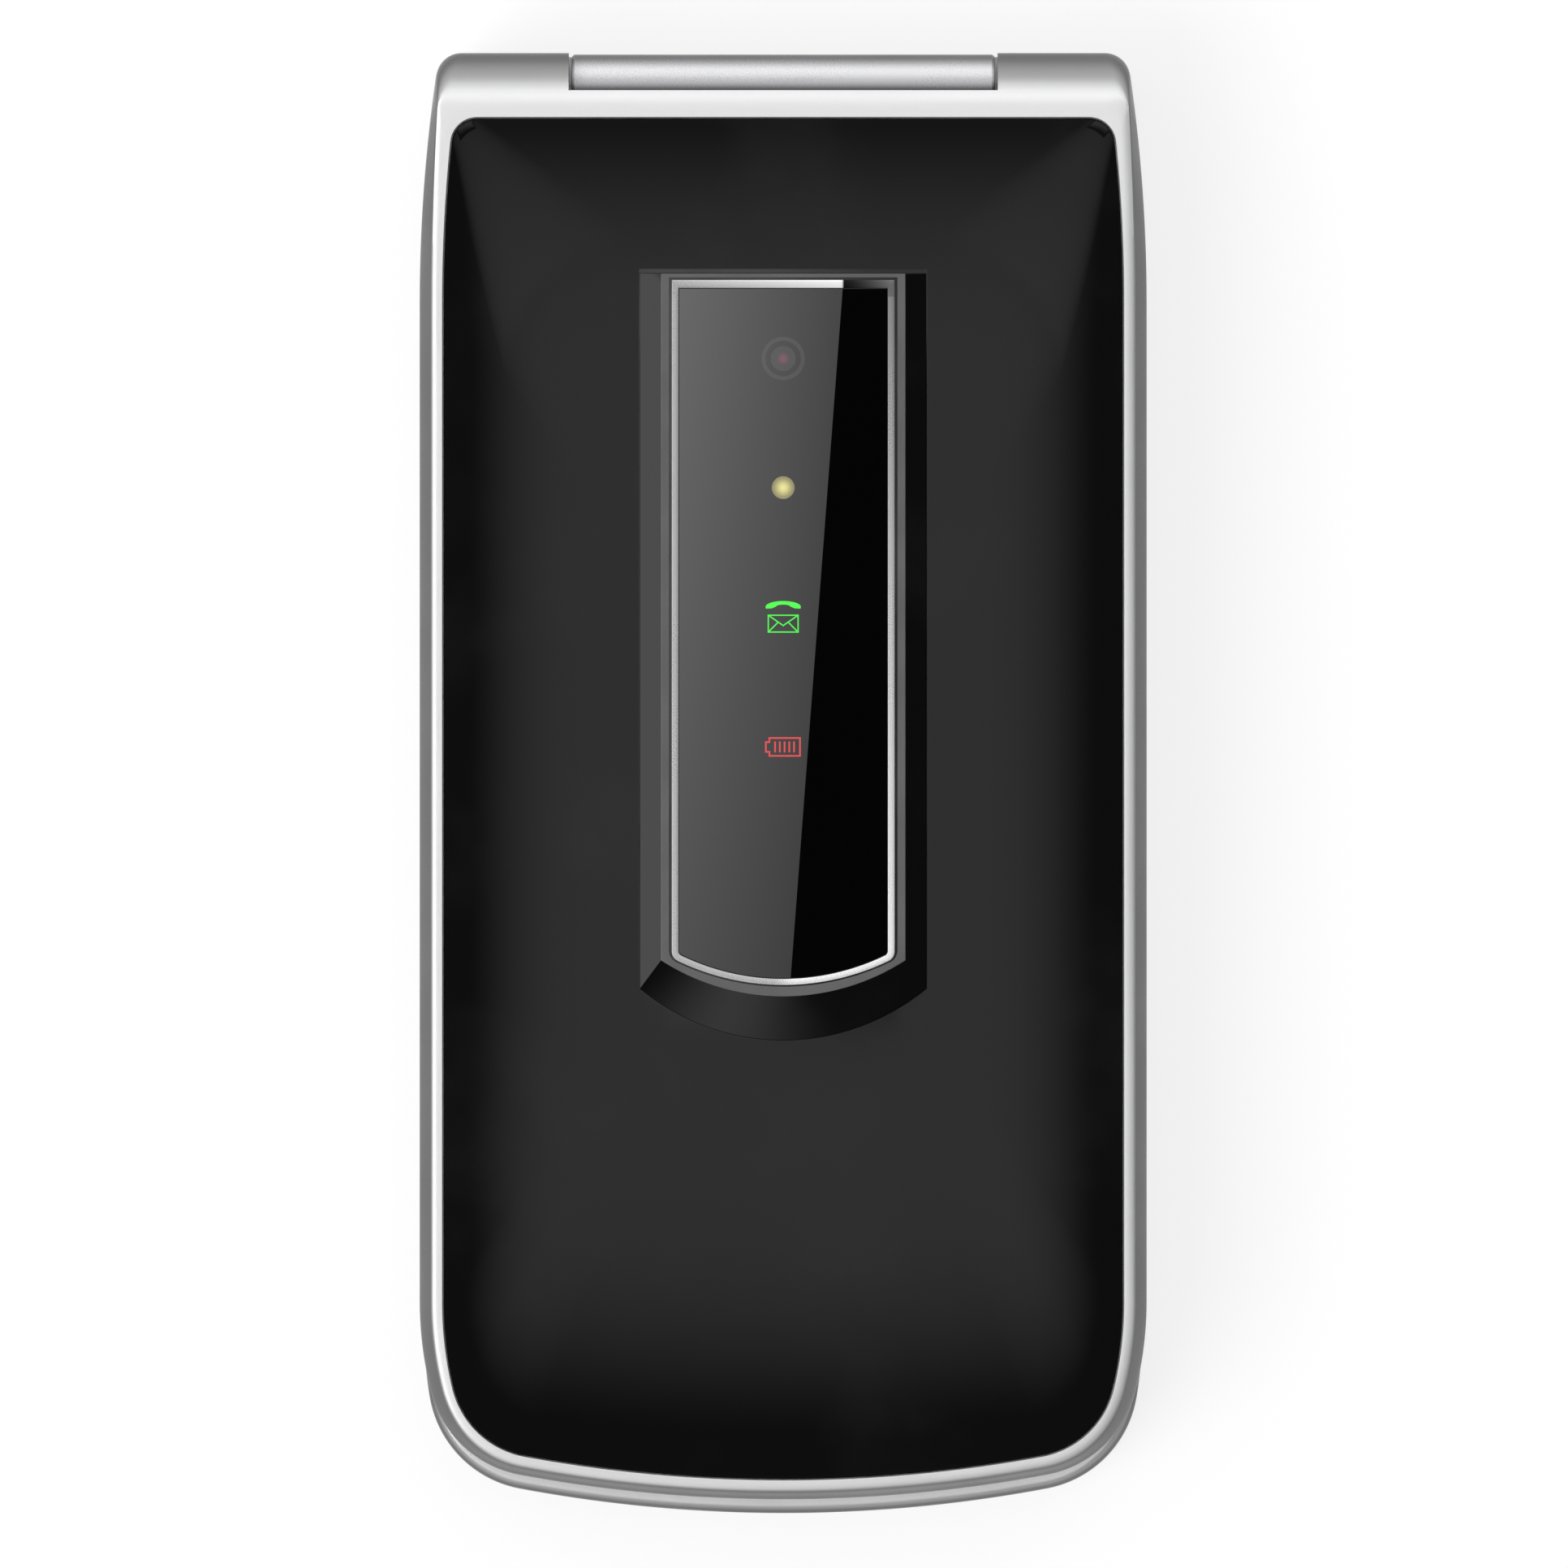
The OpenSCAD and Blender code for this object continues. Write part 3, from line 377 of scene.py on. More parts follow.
# Fine grain of a moulded or painted surface: a roughness that varies, and a height for a bump
grain, grainIn, grainOut = newGroup(
    "fineGrain",
    [("Size", "number", 0.3), ("Smooth", "number", 0.3), ("Rough", "number", 0.4)],
    [("Roughness", "number"), ("Height", "number")])
grainPlace = placed(grain)
grainScale = calc(grain, "DIVIDE", 1.0, grainIn["Size"])
grainNoise = noise(grain, grainPlace, grainScale, 3.0, 0.6)
grainBroad = noise(grain, grainPlace, 0.12, 2.0)
grainMix = calc(grain, "ADD", calc(grain, "MULTIPLY", grainNoise, 0.6),
                calc(grain, "MULTIPLY", grainBroad, 0.4))
grain.links.new(ramp(grain, grainMix, 0.35, 0.65, grainIn["Smooth"], grainIn["Rough"]), grainOut["Roughness"])
grain.links.new(grainNoise, grainOut["Height"])

# Silver paint with painted shade: its colour is bright on faces that lie flat and darker the more a face
# tilts, with its own darker tone on upright sides, standing in for how light falls on them; the fine metal
# flakes are the paint's own
slopeShadePaint, toneIn, toneOut = newGroup(
    "slopeShadePaint",
    [("Flat", "colour", (0.8, 0.8, 0.8)), ("Steep", "colour", (0.3, 0.3, 0.3)),
     ("Side", "colour", (0.4, 0.4, 0.4)), ("Sharpness", "number", 3.0), ("Flake", "number", 0.05)],
    [("Color", "colour")])
toneCoord = slopeShadePaint.nodes.new("ShaderNodeTexCoord")
toneUp = calc(slopeShadePaint, "ABSOLUTE", parts(slopeShadePaint, toneCoord.outputs["Normal"])["Z"])
toneFlat = calc(slopeShadePaint, "POWER", toneUp, toneIn["Sharpness"])
# painted shade: faces tilted from flat take the darker colour, upright faces the side colour
toneColour = blended(slopeShadePaint, toneFlat, toneIn["Steep"], toneIn["Flat"])
toneColour = blended(slopeShadePaint, ramp(slopeShadePaint, toneUp, 0.02, 0.17, 1.0, 0.0), toneColour, toneIn["Side"])
toneFlakes = noise(slopeShadePaint, placed(slopeShadePaint), 14.0, 1.0)
toneGain = calc(slopeShadePaint, "ADD", 1.0, calc(slopeShadePaint, "MULTIPLY", calc(
    slopeShadePaint, "SUBTRACT", toneFlakes, 0.5), toneIn["Flake"]))
toneScale = slopeShadePaint.nodes.new("ShaderNodeVectorMath")
toneScale.operation = "SCALE"
slopeShadePaint.links.new(toneColour, toneScale.inputs[0])
slopeShadePaint.links.new(toneGain, toneScale.inputs["Scale"])
slopeShadePaint.links.new(toneScale.outputs[0], toneOut["Color"])

# Hairline scratches and faint smears of handling on gloss surfaces
handling, handIn, handOut = newGroup(
    "handlingMarks",
    [("Polish", "number", 0.03), ("Smear", "number", 0.1)],
    [("Roughness", "number"), ("Mask", "number")])
handPlace = placed(handling)
handBend = noise(handling, handPlace, 0.35, 2.0)
handBroad = ramp(handling, noise(handling, handPlace, 0.07, 3.0, 0.55), 0.48, 0.72)
handFine = noise(handling, handPlace, 2.5, 4.0, 0.7)
handMask = calc(handling, "MULTIPLY", handBroad, calc(handling, "ADD", 0.4, calc(
    handling, "MULTIPLY", handFine, handBend)))
handling.links.new(ramp(handling, handMask, 0.0, 0.8, handIn["Polish"], handIn["Smear"], "LINEAR"),
                   handOut["Roughness"])
handling.links.new(handMask, handOut["Mask"])


def newMaterial(name, **settings):
    material = bpy.data.materials.new(name)
    material.use_nodes = True
    tree = material.node_tree
    shader = tree.nodes["Principled BSDF"]
    for label, value in settings.items():
        socket = shader.inputs[label.replace("_", " ")]
        socket.default_value = (*value, 1) if isinstance(value, tuple) else value
    return material, tree, shader


def bump(tree, shader, height, strength, distance=0.02):
    node = tree.nodes.new("ShaderNodeBump")
    node.inputs["Strength"].default_value = strength
    node.inputs["Distance"].default_value = distance * mm
    tree.links.new(height, node.inputs["Height"])
    tree.links.new(node.outputs[0], shader.inputs["Normal"])


def roughened(tree, shader, size, low, high):  # fine grain in the roughness; returns its height
    field = useGroup(tree, grain, Size=size, Smooth=low, Rough=high)
    tree.links.new(field["Roughness"], shader.inputs["Roughness"])
    return field["Height"]


def coloured(tree, shader, colour):
    tree.links.new(colour, shader.inputs["Base Color"])


def grained(name, colour, low, high, size=0.3, strength=0.15, tint=0.08, **settings):
    # a plain finish with fine grain; tint is how far the colour drifts
    material, tree, shader = newMaterial(name, **settings)
    height = roughened(tree, shader, size, low, high)
    drift = ramp(tree, noise(tree, placed(tree), 0.25, 3.0), 0.3, 0.7)
    dark = tuple(c * (1 - tint) for c in colour)
    light = tuple(min(c * (1 + tint), 1.0) for c in colour)
    coloured(tree, shader, blended(tree, drift, dark, light))
    bump(tree, shader, height, strength)
    return material


# silver whose colour carries painted shade from the slope of each face
def paint(name, flat, steep, side, sharpness, low, high, metallic, flake=0.06):
    material, tree, shader = newMaterial(name, Metallic=metallic, Specular_IOR_Level=0.25)
    tone = useGroup(tree, slopeShadePaint, Flat=flat, Steep=steep, Side=side, Sharpness=sharpness, Flake=flake)
    coloured(tree, shader, tone["Color"])
    bump(tree, shader, roughened(tree, shader, 0.12, low, high), 0.04, 0.01)
    return material


def gloss(name, colour, polish, smear, **settings):
    material, tree, shader = newMaterial(name, **settings)
    marks = useGroup(tree, handling, Polish=polish, Smear=smear)
    tree.links.new(marks["Roughness"], shader.inputs["Roughness"])
    light = tuple(min(c * 1.6 + 0.002, 1.0) for c in colour)
    coloured(tree, shader, blended(tree, marks["Mask"], colour, light))
    return material


# colours of the painted shade: on flat faces, on tilted ones and on upright sides
silverOuterShadeTones = dict(flat=(0.94, 0.94, 0.945), steep=(0.06, 0.06, 0.063), side=(0.42, 0.42, 0.43),
                   sharpness=3.3, low=0.32, high=0.4, metallic=0.6)
silverInnerShadeTones = dict(flat=(0.62, 0.62, 0.63), steep=(0.40, 0.40, 0.41), side=(0.42, 0.42, 0.43),
                   sharpness=2.0, low=0.34, high=0.46, metallic=0.4)

silverWithPaintedShade = paint("silverWithPaintedShade", **silverOuterShadeTones)
gateShadedSilver = paint("silverInnerShadeTones", **silverInnerShadeTones)
panelBlack = gloss("panelBlack", (0.0026, 0.0026, 0.0027), 0.035, 0.10, Specular_IOR_Level=0.25)
pianoBlack = gloss("pianoBlack", (0.004, 0.004, 0.0045), 0.05, 0.16, Specular_IOR_Level=0.35)
bevelBlack = gloss("bevelBlack", (0.0015, 0.0015, 0.0016), 0.06, 0.12, Specular_IOR_Level=0.42)
lipGrey = grained("lipGrey", (0.088, 0.088, 0.09), 0.3, 0.42, 0.2, 0.05)
softBlack = grained("softBlack", (0.022, 0.022, 0.023), 0.48, 0.62, 0.28, 0.35)
keyBlack = gloss("keyBlack", (0.008, 0.008, 0.009), 0.14, 0.26, Specular_IOR_Level=0.35)
mouldedBlack = grained("mouldedBlack", (0.02, 0.02, 0.021), 0.4, 0.55, 0.4, 0.2)
rubberGrey = grained("rubberGrey", (0.045, 0.045, 0.046), 0.65, 0.8, 0.2, 0.3)
legendWhite = grained("legendWhite", (0.82, 0.82, 0.80), 0.35, 0.45, 0.2, 0.05)
callGreen = grained("callGreen", (0.05, 0.55, 0.12), 0.35, 0.45, 0.2, 0.05)
endRed = grained("endRed", (0.62, 0.03, 0.03), 0.35, 0.45, 0.2, 0.05)
sosOrange = gloss("sosOrange", (0.72, 0.15, 0.02), 0.2, 0.34)
boardGreen = grained("boardGreen", (0.012, 0.10, 0.035), 0.3, 0.45, 1.6, 0.3, 0.25)
domeFilm = grained("domeFilm", (0.55, 0.55, 0.52), 0.25, 0.4, 1.0, 0.1)
goldContact = grained("goldContact", (0.80, 0.55, 0.22), 0.18, 0.32, 0.2, 0.05, Metallic=1.0)
plainSteel = grained("plainSteel", (0.48, 0.48, 0.49), 0.24, 0.4, 0.25, 0.1, Metallic=1.0)
flexAmber = grained("flexAmber", (0.42, 0.16, 0.03), 0.25, 0.4, 0.8, 0.05)
displayBack = grained("displayBack", (0.06, 0.062, 0.066), 0.35, 0.5, 0.6, 0.1)
paleLight = grained("paleLight", (0.70, 0.66, 0.42), 0.3, 0.45, 0.3, 0.05)
lensGlass = gloss("lensGlass", (0.02, 0.012, 0.028), 0.02, 0.05)
print("plain finishes made")


# The lid's outside

# knuckleR is also the radius of the lid's rolled end, whose upper half turns about endZ
hinge = dict(y=49.8, z=14.0, knuckleR=4.3, knuckleIn=14.87, knuckleOut=25.6, knuckleEdge=2, endZ=15.2,
             gapHalf=15.87, gapR=4.35, troughR=5.65, barrelR=4.2, barrelHalf=15.65, openAngle=160)
lidSideZ = (13.4, 14.0, 14.6, 15.2, 15.8, 16.2, 16.5, 16.8, 17.1, 17.4, 17.7, 18.0, 18.3, 18.55, 18.78, 18.98,
            19.15, 19.22, 19.28, 19.32, 19.36)
lidLipZ = (19.41, 19.45, 19.475, 19.492, 19.5)
lip = dict(bandLow=16.5, bandTop=19.15, bandIn=0.80, outer=0.95, outerZ=19.36, inner=1.70)


def drawIn(z):  # how far the lid's side has drawn in at height z
    if z <= lip["bandLow"]:
        return 0.0
    if z <= lip["bandTop"]:
        return lip["bandIn"] * ((z - lip["bandLow"]) / (lip["bandTop"] - lip["bandLow"])) ** 1.2
    t = (z - lip["bandTop"]) / (lip["outerZ"] - lip["bandTop"])
    return lip["bandIn"] + (lip["outer"] - lip["bandIn"]) * min(t, 1) ** 1.3


def rollY(z):  # how far the lid's rolled end reaches at height z
    rise = max(z - hinge["endZ"], 0) or min(z - hinge["z"], 0)
    return hinge["y"] + math.sqrt(max(hinge["knuckleR"] ** 2 - rise ** 2, 0))


def endLip(points, z):  # the lip is wider round the closed end, so the edge there stands further out
    grow = 0.25 * min(max((z - 17.5) / 1.6, 0), 1)
    moved = []
    for x, y, h in points:
        t = min(max((-y - 45) / 5, 0), 1)
        moved.append((x, y - grow * t * t * (3 - 2 * t), h))
    return moved


def lidRings():
    rings = []
    for z in lidSideZ:
        inset = drawIn(z)
        rings.append(endLip(atHeight(lidOutline(inset, rollY(z), inset / lip["outer"]), z), z))
    for i, z in enumerate(lidLipZ):
        inset = lip["outer"] + (1.6 - lip["outer"]) * (i + 1) / len(lidLipZ)
        edge = atHeight(lidOutline(inset, rollY(z), 1, lip["outer"] + (inset - lip["outer"]) * 1.2), z)
        rings.append(endLip(edge, z) if inset < 1.4 else edge)
    rings.append(atHeight(lidOutline(lip["inner"], 49.3, 1, 1.85), lidLipZ[-1]))
    return rings


def knuckle(side):
    r, low, high, edge = (hinge["knuckle" + key] for key in ("R", "In", "Out", "Edge"))
    profile = [(0, low), (r, low)]
    for i in range(13):
        a = math.radians(90 * i / 12)
        profile.append((r - edge + edge * math.cos(a), high - edge + edge * math.sin(a)))
    profile.append((0, high))
    return lathe("knuckle", [(r, side * h) for r, h in profile], 128, (0, hinge["y"], hinge["z"]), "X")


screwPlaces = dict(free=(21.8, -46.6), hinge=(23.5, 39.5))


def bothSides(places):  # the same places on both sides of the phone
    return [(s * x, y) for x, y in places.values() for s in (-1, 1)]


def hingeRod(r, x0, x1, n=96):
    return rodX(hinge["y"], hinge["z"], r, x0, x1, n)


def lidShell():
    shell = loft("lidShell", lidRings())
    pocket = loft("pocket", [atHeight(panelOutline(-0.05), z) for z in (18.4, 19.42)]
                  + [atHeight(panelOutline(-0.13), 19.51), atHeight(panelOutline(-0.13), 20.5)])
    hollows = [prism(lidOutline(1.7, 44), 12.4, 17.6), prism(panelOutline(1.3), 17.5, 18.45), pocket]
    shell = shaped(shell, cut=hollows)
    posts = [disc(x, y, 1.9, 13.5, 17.7) for x, y in bothSides(screwPlaces)]
    shell = shaped(shell, add=[knuckle(-1), knuckle(1)] + posts)
    half = hinge["gapHalf"]
    cuts = [block(-half, half, 51.28, 55.1, 8, 20.5), hingeRod(hinge["gapR"], -half, half, 160),
            hingeRod(1.62, -20.6, -15.7), hingeRod(2.22, 15.7, 22.1)]
    cuts += [disc(x, y, 0.72, 12.4, 17) for x, y in bothSides(screwPlaces)]
    shell = shaped(shell, cut=cuts)
    return finished(shell, "lidShell", "lid", silverWithPaintedShade, ["lid_frame"], 28)


panelShape = dict(low=18.45, edge=19.4, crown=0.8, power=5, centreY=-1.11)


def coverPanel():
    c = panelShape["centreY"]

    def ring(s, z):  # scaled about the middle, with rounder hinge corners further in
        corner = 1.9 + min((1 - s) * 55, 10)
        edge = phoneOutline(25.1, -51.4, -38.4, 6.6, 0, 49.18, 0, corner)
        return [(x * s, c + (y - c) * s, z) for x, y in edge]

    rings = [ring(0.995, panelShape["low"]), ring(1, panelShape["low"] + 0.1), ring(1, 19.3)]
    rings += [ring(0.9993, 19.36)]
    steps = [0.998] + [1 - 0.012 * i for i in range(1, 26)] + [0.66, 0.6, 0.52, 0.42, 0.3, 0.15]
    for s in steps:
        rings.append(ring(s, panelShape["edge"] + panelShape["crown"] * (1 - s ** panelShape["power"])))
    panel = loft("coverPanel", rings)
    panel = shaped(panel, cut=[prism(stripOutline(strip["cut"]), 17, 22)])
    return finished(panel, "coverPanel", "lid", panelBlack, ["lid_cover_panel"], 25)


# Each outline of the strip: half width, hinge-side y, rounded-end y, radius
strip = dict(cut=(10.66, 38.06, -19.02, 16.6), foot=(10.62, 37.76, -18.98, 16.6),
             lip=(9.0, 37.66, -15.68, 16.6), groove=(8.45, 37.42, -15.0, 18.1),
             trim=(8.24, 37.24, -14.87, 18.0), window=(7.74, 36.64, -14.42, 17.3),
             trimCorner=0.8, corner=0.4)


def windowSurround():
    foot, edge = strip["foot"], strip["lip"]
    rings = [atHeight(stripOutline(foot), 18.3), atHeight(stripOutline(foot), 20.07)]
    rings += [atHeight(stripOutline(foot, 0.04), 20.11), atHeight(stripOutline(edge, -0.03), 20.735),
              atHeight(stripOutline(edge, 0.02), 20.75)]
    ring = loft("windowSurround", rings)
    flange = prism(stripOutline(foot, -1), 17.75, 18.4)
    pocket = prism(stripOutline(strip["groove"], 0, strip["trimCorner"] + 0.15), 19.5, 22)
    ring = shaped(ring, add=[flange], cut=[pocket, prism(stripOutline(strip["trim"], 1.44), 17, 19.6)])
    return finished(ring, "windowSurround", "lid", bevelBlack, ["window_surround"], 20,
                    (lipGrey, lambda c, n: n.z > 0.9 and c.z > 20.6))


def brightTrim(material):
    edge = [(0, 19.5), (0, 20.74), (0.015, 20.785), (0.045, 20.8)]
    points = [atHeight(stripOutline(strip["trim"], inset, strip["trimCorner"]), z) for inset, z in edge]
    points += [atHeight(stripOutline(strip["window"], -inset, strip["corner"]), z)
               for inset, z in reversed(edge)]
    n = len(points[0])
    verts = [p for ring in points for p in ring]
    faces = []
    for k in range(len(points)):
        for i in range(n):
            j, q = (i + 1) % n, (k + 1) % len(points)
            faces.append((k * n + i, k * n + j, q * n + j, q * n + i))
    obj = cleaned(makeObject("brightTrim", verts, faces))
    return finished(obj, "brightTrim", "lid", material, ["window_trim"], 50)


def windowGlass(material):
    rings = [(0.03, 19.5), (0.03, 20.66), (0.04, 20.69), (0.07, 20.7)]
    outlines = [atHeight(stripOutline(strip["window"], inset, strip["corner"]), z) for inset, z in rings]
    glass = loft("windowGlass", outlines)
    return finished(glass, "windowGlass", "lid", material, ["indicator_window"], 8)


def smoked(name, colour):  # polished smoked plastic, which mirrors the card over the phone
    material, tree, shader = newMaterial(name, Roughness=0.0, IOR=1.5)
    drift = ramp(tree, noise(tree, placed(tree), 0.2), 0.3, 0.7)
    coloured(tree, shader, blended(tree, drift, tuple(c * 0.96 for c in colour), colour))
    return material


# Camera and flash as they show in the smoked cover: faint rings, a pink core, a pale dot
lens = dict(y=31.42, ring=(1.31, 1.60), disc=0.92, flashY=21.88, flashR=0.84, top=20.712)


def annulus(r0, r1, y, z0, z1):
    profile = [(r0, z0), (r1, z0), (r1, z1), (r0, z1)]
    return lathe("annulus", profile, 96, (0, y, 0), "Z", r0 > 0)


def rayed(name, y, r, middle, edge):  # a disc whose colour changes from its middle to its edge
    material, tree, shader = newMaterial(name, Roughness=0.0, IOR=1.5)
    across, along, _ = parts(tree, placed(tree))
    along = calc(tree, "SUBTRACT", along, y)
    away = calc(tree, "SQRT", calc(tree, "ADD", product(tree, across, across), product(tree, along, along)))
    coloured(tree, shader, blended(tree, ramp(tree, away, 0.0, r), middle, edge))
    return material


def lensMarks():
    y, z1 = lens["y"], lens["top"]
    grey = (0.021, 0.021, 0.022)
    finished(annulus(*lens["ring"], y, 20.6, z1), "lensRing", "lid", smoked("ringGrey", grey))
    finished(annulus(0, lens["disc"], y, 20.6, z1), "lensDisc", "lid",
             rayed("corePink", y, 0.55, (0.13, 0.022, 0.06), grey))
    y = lens["flashY"]
    finished(annulus(0, lens["flashR"], y, 20.6, z1), "flashWindow", "lid",
             rayed("flashYellow", y, lens["flashR"], (0.66, 0.60, 0.22), (0.19, 0.175, 0.07)))


def trimMaterial():
    # polished rim whose tone runs along it as on the photographed one: a painted reflection, bright to the
    # left of a slanting edge and dark to its right at the ends, lighter or darker along the sides
    material, tree, shader = newMaterial("rimPaintedReflection", Metallic=0.55)
    x, y, _ = parts(tree, placed(tree))
    # painted reflection: the slanting edge between its bright and dark parts
    split = ramp(tree, y, -15.0, 36.7, 0.5, 4.4, "LINEAR")
    rightOf = calc(tree, "SUBTRACT", x, split)
    ends = calc(tree, "GREATER_THAN", magnitude(tree, calc(tree, "SUBTRACT", y, 10.4)), 25.6)
    leftTone = ramp(tree, x, -8.0, 4.0, 0.47, 1.0, "LINEAR")
    rightTone = calc(tree, "MINIMUM", product(tree, rightOf, rightOf, 0.0131), 0.8)
    endTone = blended(tree, ramp(tree, rightOf, -0.1, 0.1), leftTone, rightTone)
    sideTone = blended(tree, ramp(tree, x, -1.0, 1.0), ramp(tree, y, -15.0, 37.0, 0.56, 0.5, "LINEAR"),
                       ramp(tree, y, -15.0, 37.0, 1.0, 0.26, "LINEAR"))
    coloured(tree, shader, blended(tree, ends, sideTone, endTone))
    roughened(tree, shader, 0.1, 0.26, 0.36)
    return material


def glow(name, colour, strength):
    material, tree, shader = newMaterial(name, Base_Color=(0.01, 0.01, 0.01), Roughness=0.3,
                                         Emission_Strength=strength)
    drift = ramp(tree, noise(tree, placed(tree), 1.5), 0.3, 0.7)
    tint = blended(tree, drift, tuple(c * 0.94 for c in colour), colour)
    tree.links.new(tint, shader.inputs["Emission Color"])
    return material


def strokes(lines, width, z, height):  # flat bars along lines, joined where they meet
    pieces = []
    for (x0, y0), (x1, y1) in lines:
        dx, dy = x1 - x0, y1 - y0
        d = math.hypot(dx, dy)
        ux, uy = dx / d * width / 2, dy / d * width / 2
        corners = [(x0 - ux + uy, y0 - uy - ux), (x1 + ux + uy, y1 + uy - ux),
                   (x1 + ux - uy, y1 + uy + ux), (x0 - ux - uy, y0 - uy + ux)]
        pieces.append(prism(corners, z, z + height))
    first = pieces[0]
    return shaped(first, add=pieces[1:]) if len(pieces) > 1 else first


def rectLines(x0, x1, y0, y1):
    return [((x0, y0), (x1, y0)), ((x1, y0), (x1, y1)), ((x1, y1), (x0, y1)), ((x0, y1), (x0, y0))]


icons = dict(z=20.7, thick=0.012, handsetY=13.2, mailY=11.83, cellY=2.72)


def handset(x, y, k, turn=0.0):  # a shallow arch with an ear piece at each end
    points = []
    for i in range(21):
        a = math.radians(9 * i)
        points.append((1.30 * math.cos(a), 0.42 * math.sin(a) - 0.12))
    points += [(-1.28, -0.26), (-0.86, -0.24)]
    for i in range(13):
        a = math.radians(180 - 15 * i)
        points.append((0.52 * math.cos(a), 0.14 * math.sin(a) - 0.1))
    points += [(0.86, -0.24), (1.28, -0.26)]
    c, s = math.cos(math.radians(turn)), math.sin(math.radians(turn))
    return [(x + k * (px * c - py * s), y + k * (px * s + py * c)) for px, py in points]


def statusIcons(green, red):
    z, t = icons["z"], icons["thick"]
    finished(prism(handset(0, icons["handsetY"], 1), z, z + t), "callLight", "lid", green)
    y, w, h = icons["mailY"], 1.10, 0.62
    mail = rectLines(-w, w, y - h, y + h)
    mail += [((-w, y + h), (0, y - 0.14)), ((0, y - 0.14), (w, y + h)),
             ((-w, y - h), (-0.42, y + 0.06)), ((w, y - h), (0.42, y + 0.06))]
    finished(strokes(mail, 0.09, z, t), "messageLight", "lid", green)
    y, h = icons["cellY"], 0.66
    cell = rectLines(-1.02, 1.24, y - h, y + h)[:3]
    cell += [((-1.02, y + h), (-1.02, y + 0.36)), ((-1.02, y - h), (-1.02, y - 0.36)),
             ((-1.02, y + 0.36), (-1.28, y + 0.36)), ((-1.28, y + 0.36), (-1.28, y - 0.36)),
             ((-1.28, y - 0.36), (-1.02, y - 0.36))]
    cell += [((-0.60 + 0.35 * i, y - 0.34), (-0.60 + 0.35 * i, y + 0.34)) for i in range(5)]
    finished(strokes(cell, 0.12, z, t), "batteryLight", "lid", red)


lidShell()
coverPanel()
windowSurround()
brightTrim(trimMaterial())
windowGlass(smoked("smokedWindow", (0.0012, 0.0012, 0.0013)))
lensMarks()
statusIcons(glow("signalGreen", (0.075, 1.0, 0.075), 1.0), glow("signalRed", (0.78, 0.07, 0.075), 1.0))
print("lid outside made")


# The lid's inside, which shows when the phone is open

def figure(name, body, text, size, x, y, z, material, down=False):
    # raised figures with their middle at x, y and their base at z; down turns them to face -Z
    curve = bpy.data.curves.new(name, "FONT")
    curve.body, curve.size = text, size * mm
    curve.offset, curve.extrude, curve.resolution_u = 0.014 * size * mm, 0.05 * mm, 5
    source = bpy.data.objects.new(name, curve)
    bpy.context.scene.collection.objects.link(source)
    bpy.context.view_layer.update()
    mesh = bpy.data.meshes.new_from_object(source.evaluated_get(bpy.context.evaluated_depsgraph_get()))
    bpy.data.objects.remove(source)
    points = [v.co for v in mesh.vertices]
    middle = [(min(p[i] for p in points) + max(p[i] for p in points)) / 2 for i in range(3)]
    turn = Matrix.Rotation(math.pi if down else 0, 4, "X")
    mesh.transform(Matrix.Translation(Vector((x, y, z)) * mm) @ turn @ Matrix.Translation(-Vector(middle)))
    obj = bpy.data.objects.new(name, mesh)
    bpy.context.scene.collection.objects.link(obj)
    return finished(cleaned(obj), name, body, material)


innerShape = dict(low=10.9, yTop=45.2, rings=((0, 0.5), (0.04, 0.36), (0.1, 0.24), (0.2, 0.13), (0.35, 0.05),
                                              (0.6, 0), (2.5, 0)))


def innerHousing():
    low, top = innerShape["low"], innerShape["yTop"]
    inner = loft("innerHousing", [atHeight(lidOutline(s, top - s), low + z) for z, s in innerShape["rings"]])
    cuts = [prism(roundedRect(0, -3, 46.4, 68.4, 2.1), 9.9, 12.15), block(-21.6, 21.6, -31.4, 29.4, 11, 14.4),
            block(-7.6, 7.6, -46.6, -40.4, 11.6, 14.4), block(-5.6, 5.6, -44.4, -42.6, 10.95, 11.9),
            prism(roundedRect(0, -43.5, 12, 2.6, 1.25), 9.9, 11.35), block(-18.5, 18.5, 33.5, 43.2, 12, 14.4)]
    cuts += [block(x, x + 9.5, -47.5, -39.2, 12, 14.4) for x in (-18.5, 9)]
    cuts += [disc(x, y, 1.4, 9.9, 12.35) for x, y in bothSides(screwPlaces)]
    inner = shaped(inner, cut=cuts)
    inner = shaped(inner, cut=[disc(x, y, 0.8, 12.2, 14.4, 32) for x, y in bothSides(screwPlaces)])
    return finished(softened(inner, 0.06, 2, 60), "innerHousing", "lid", gateShadedSilver,
                    ["lid_inner_housing"], 30)


screen = dict(halfX=20.4, halfY=27.6, y=-1.0, face=11.1)


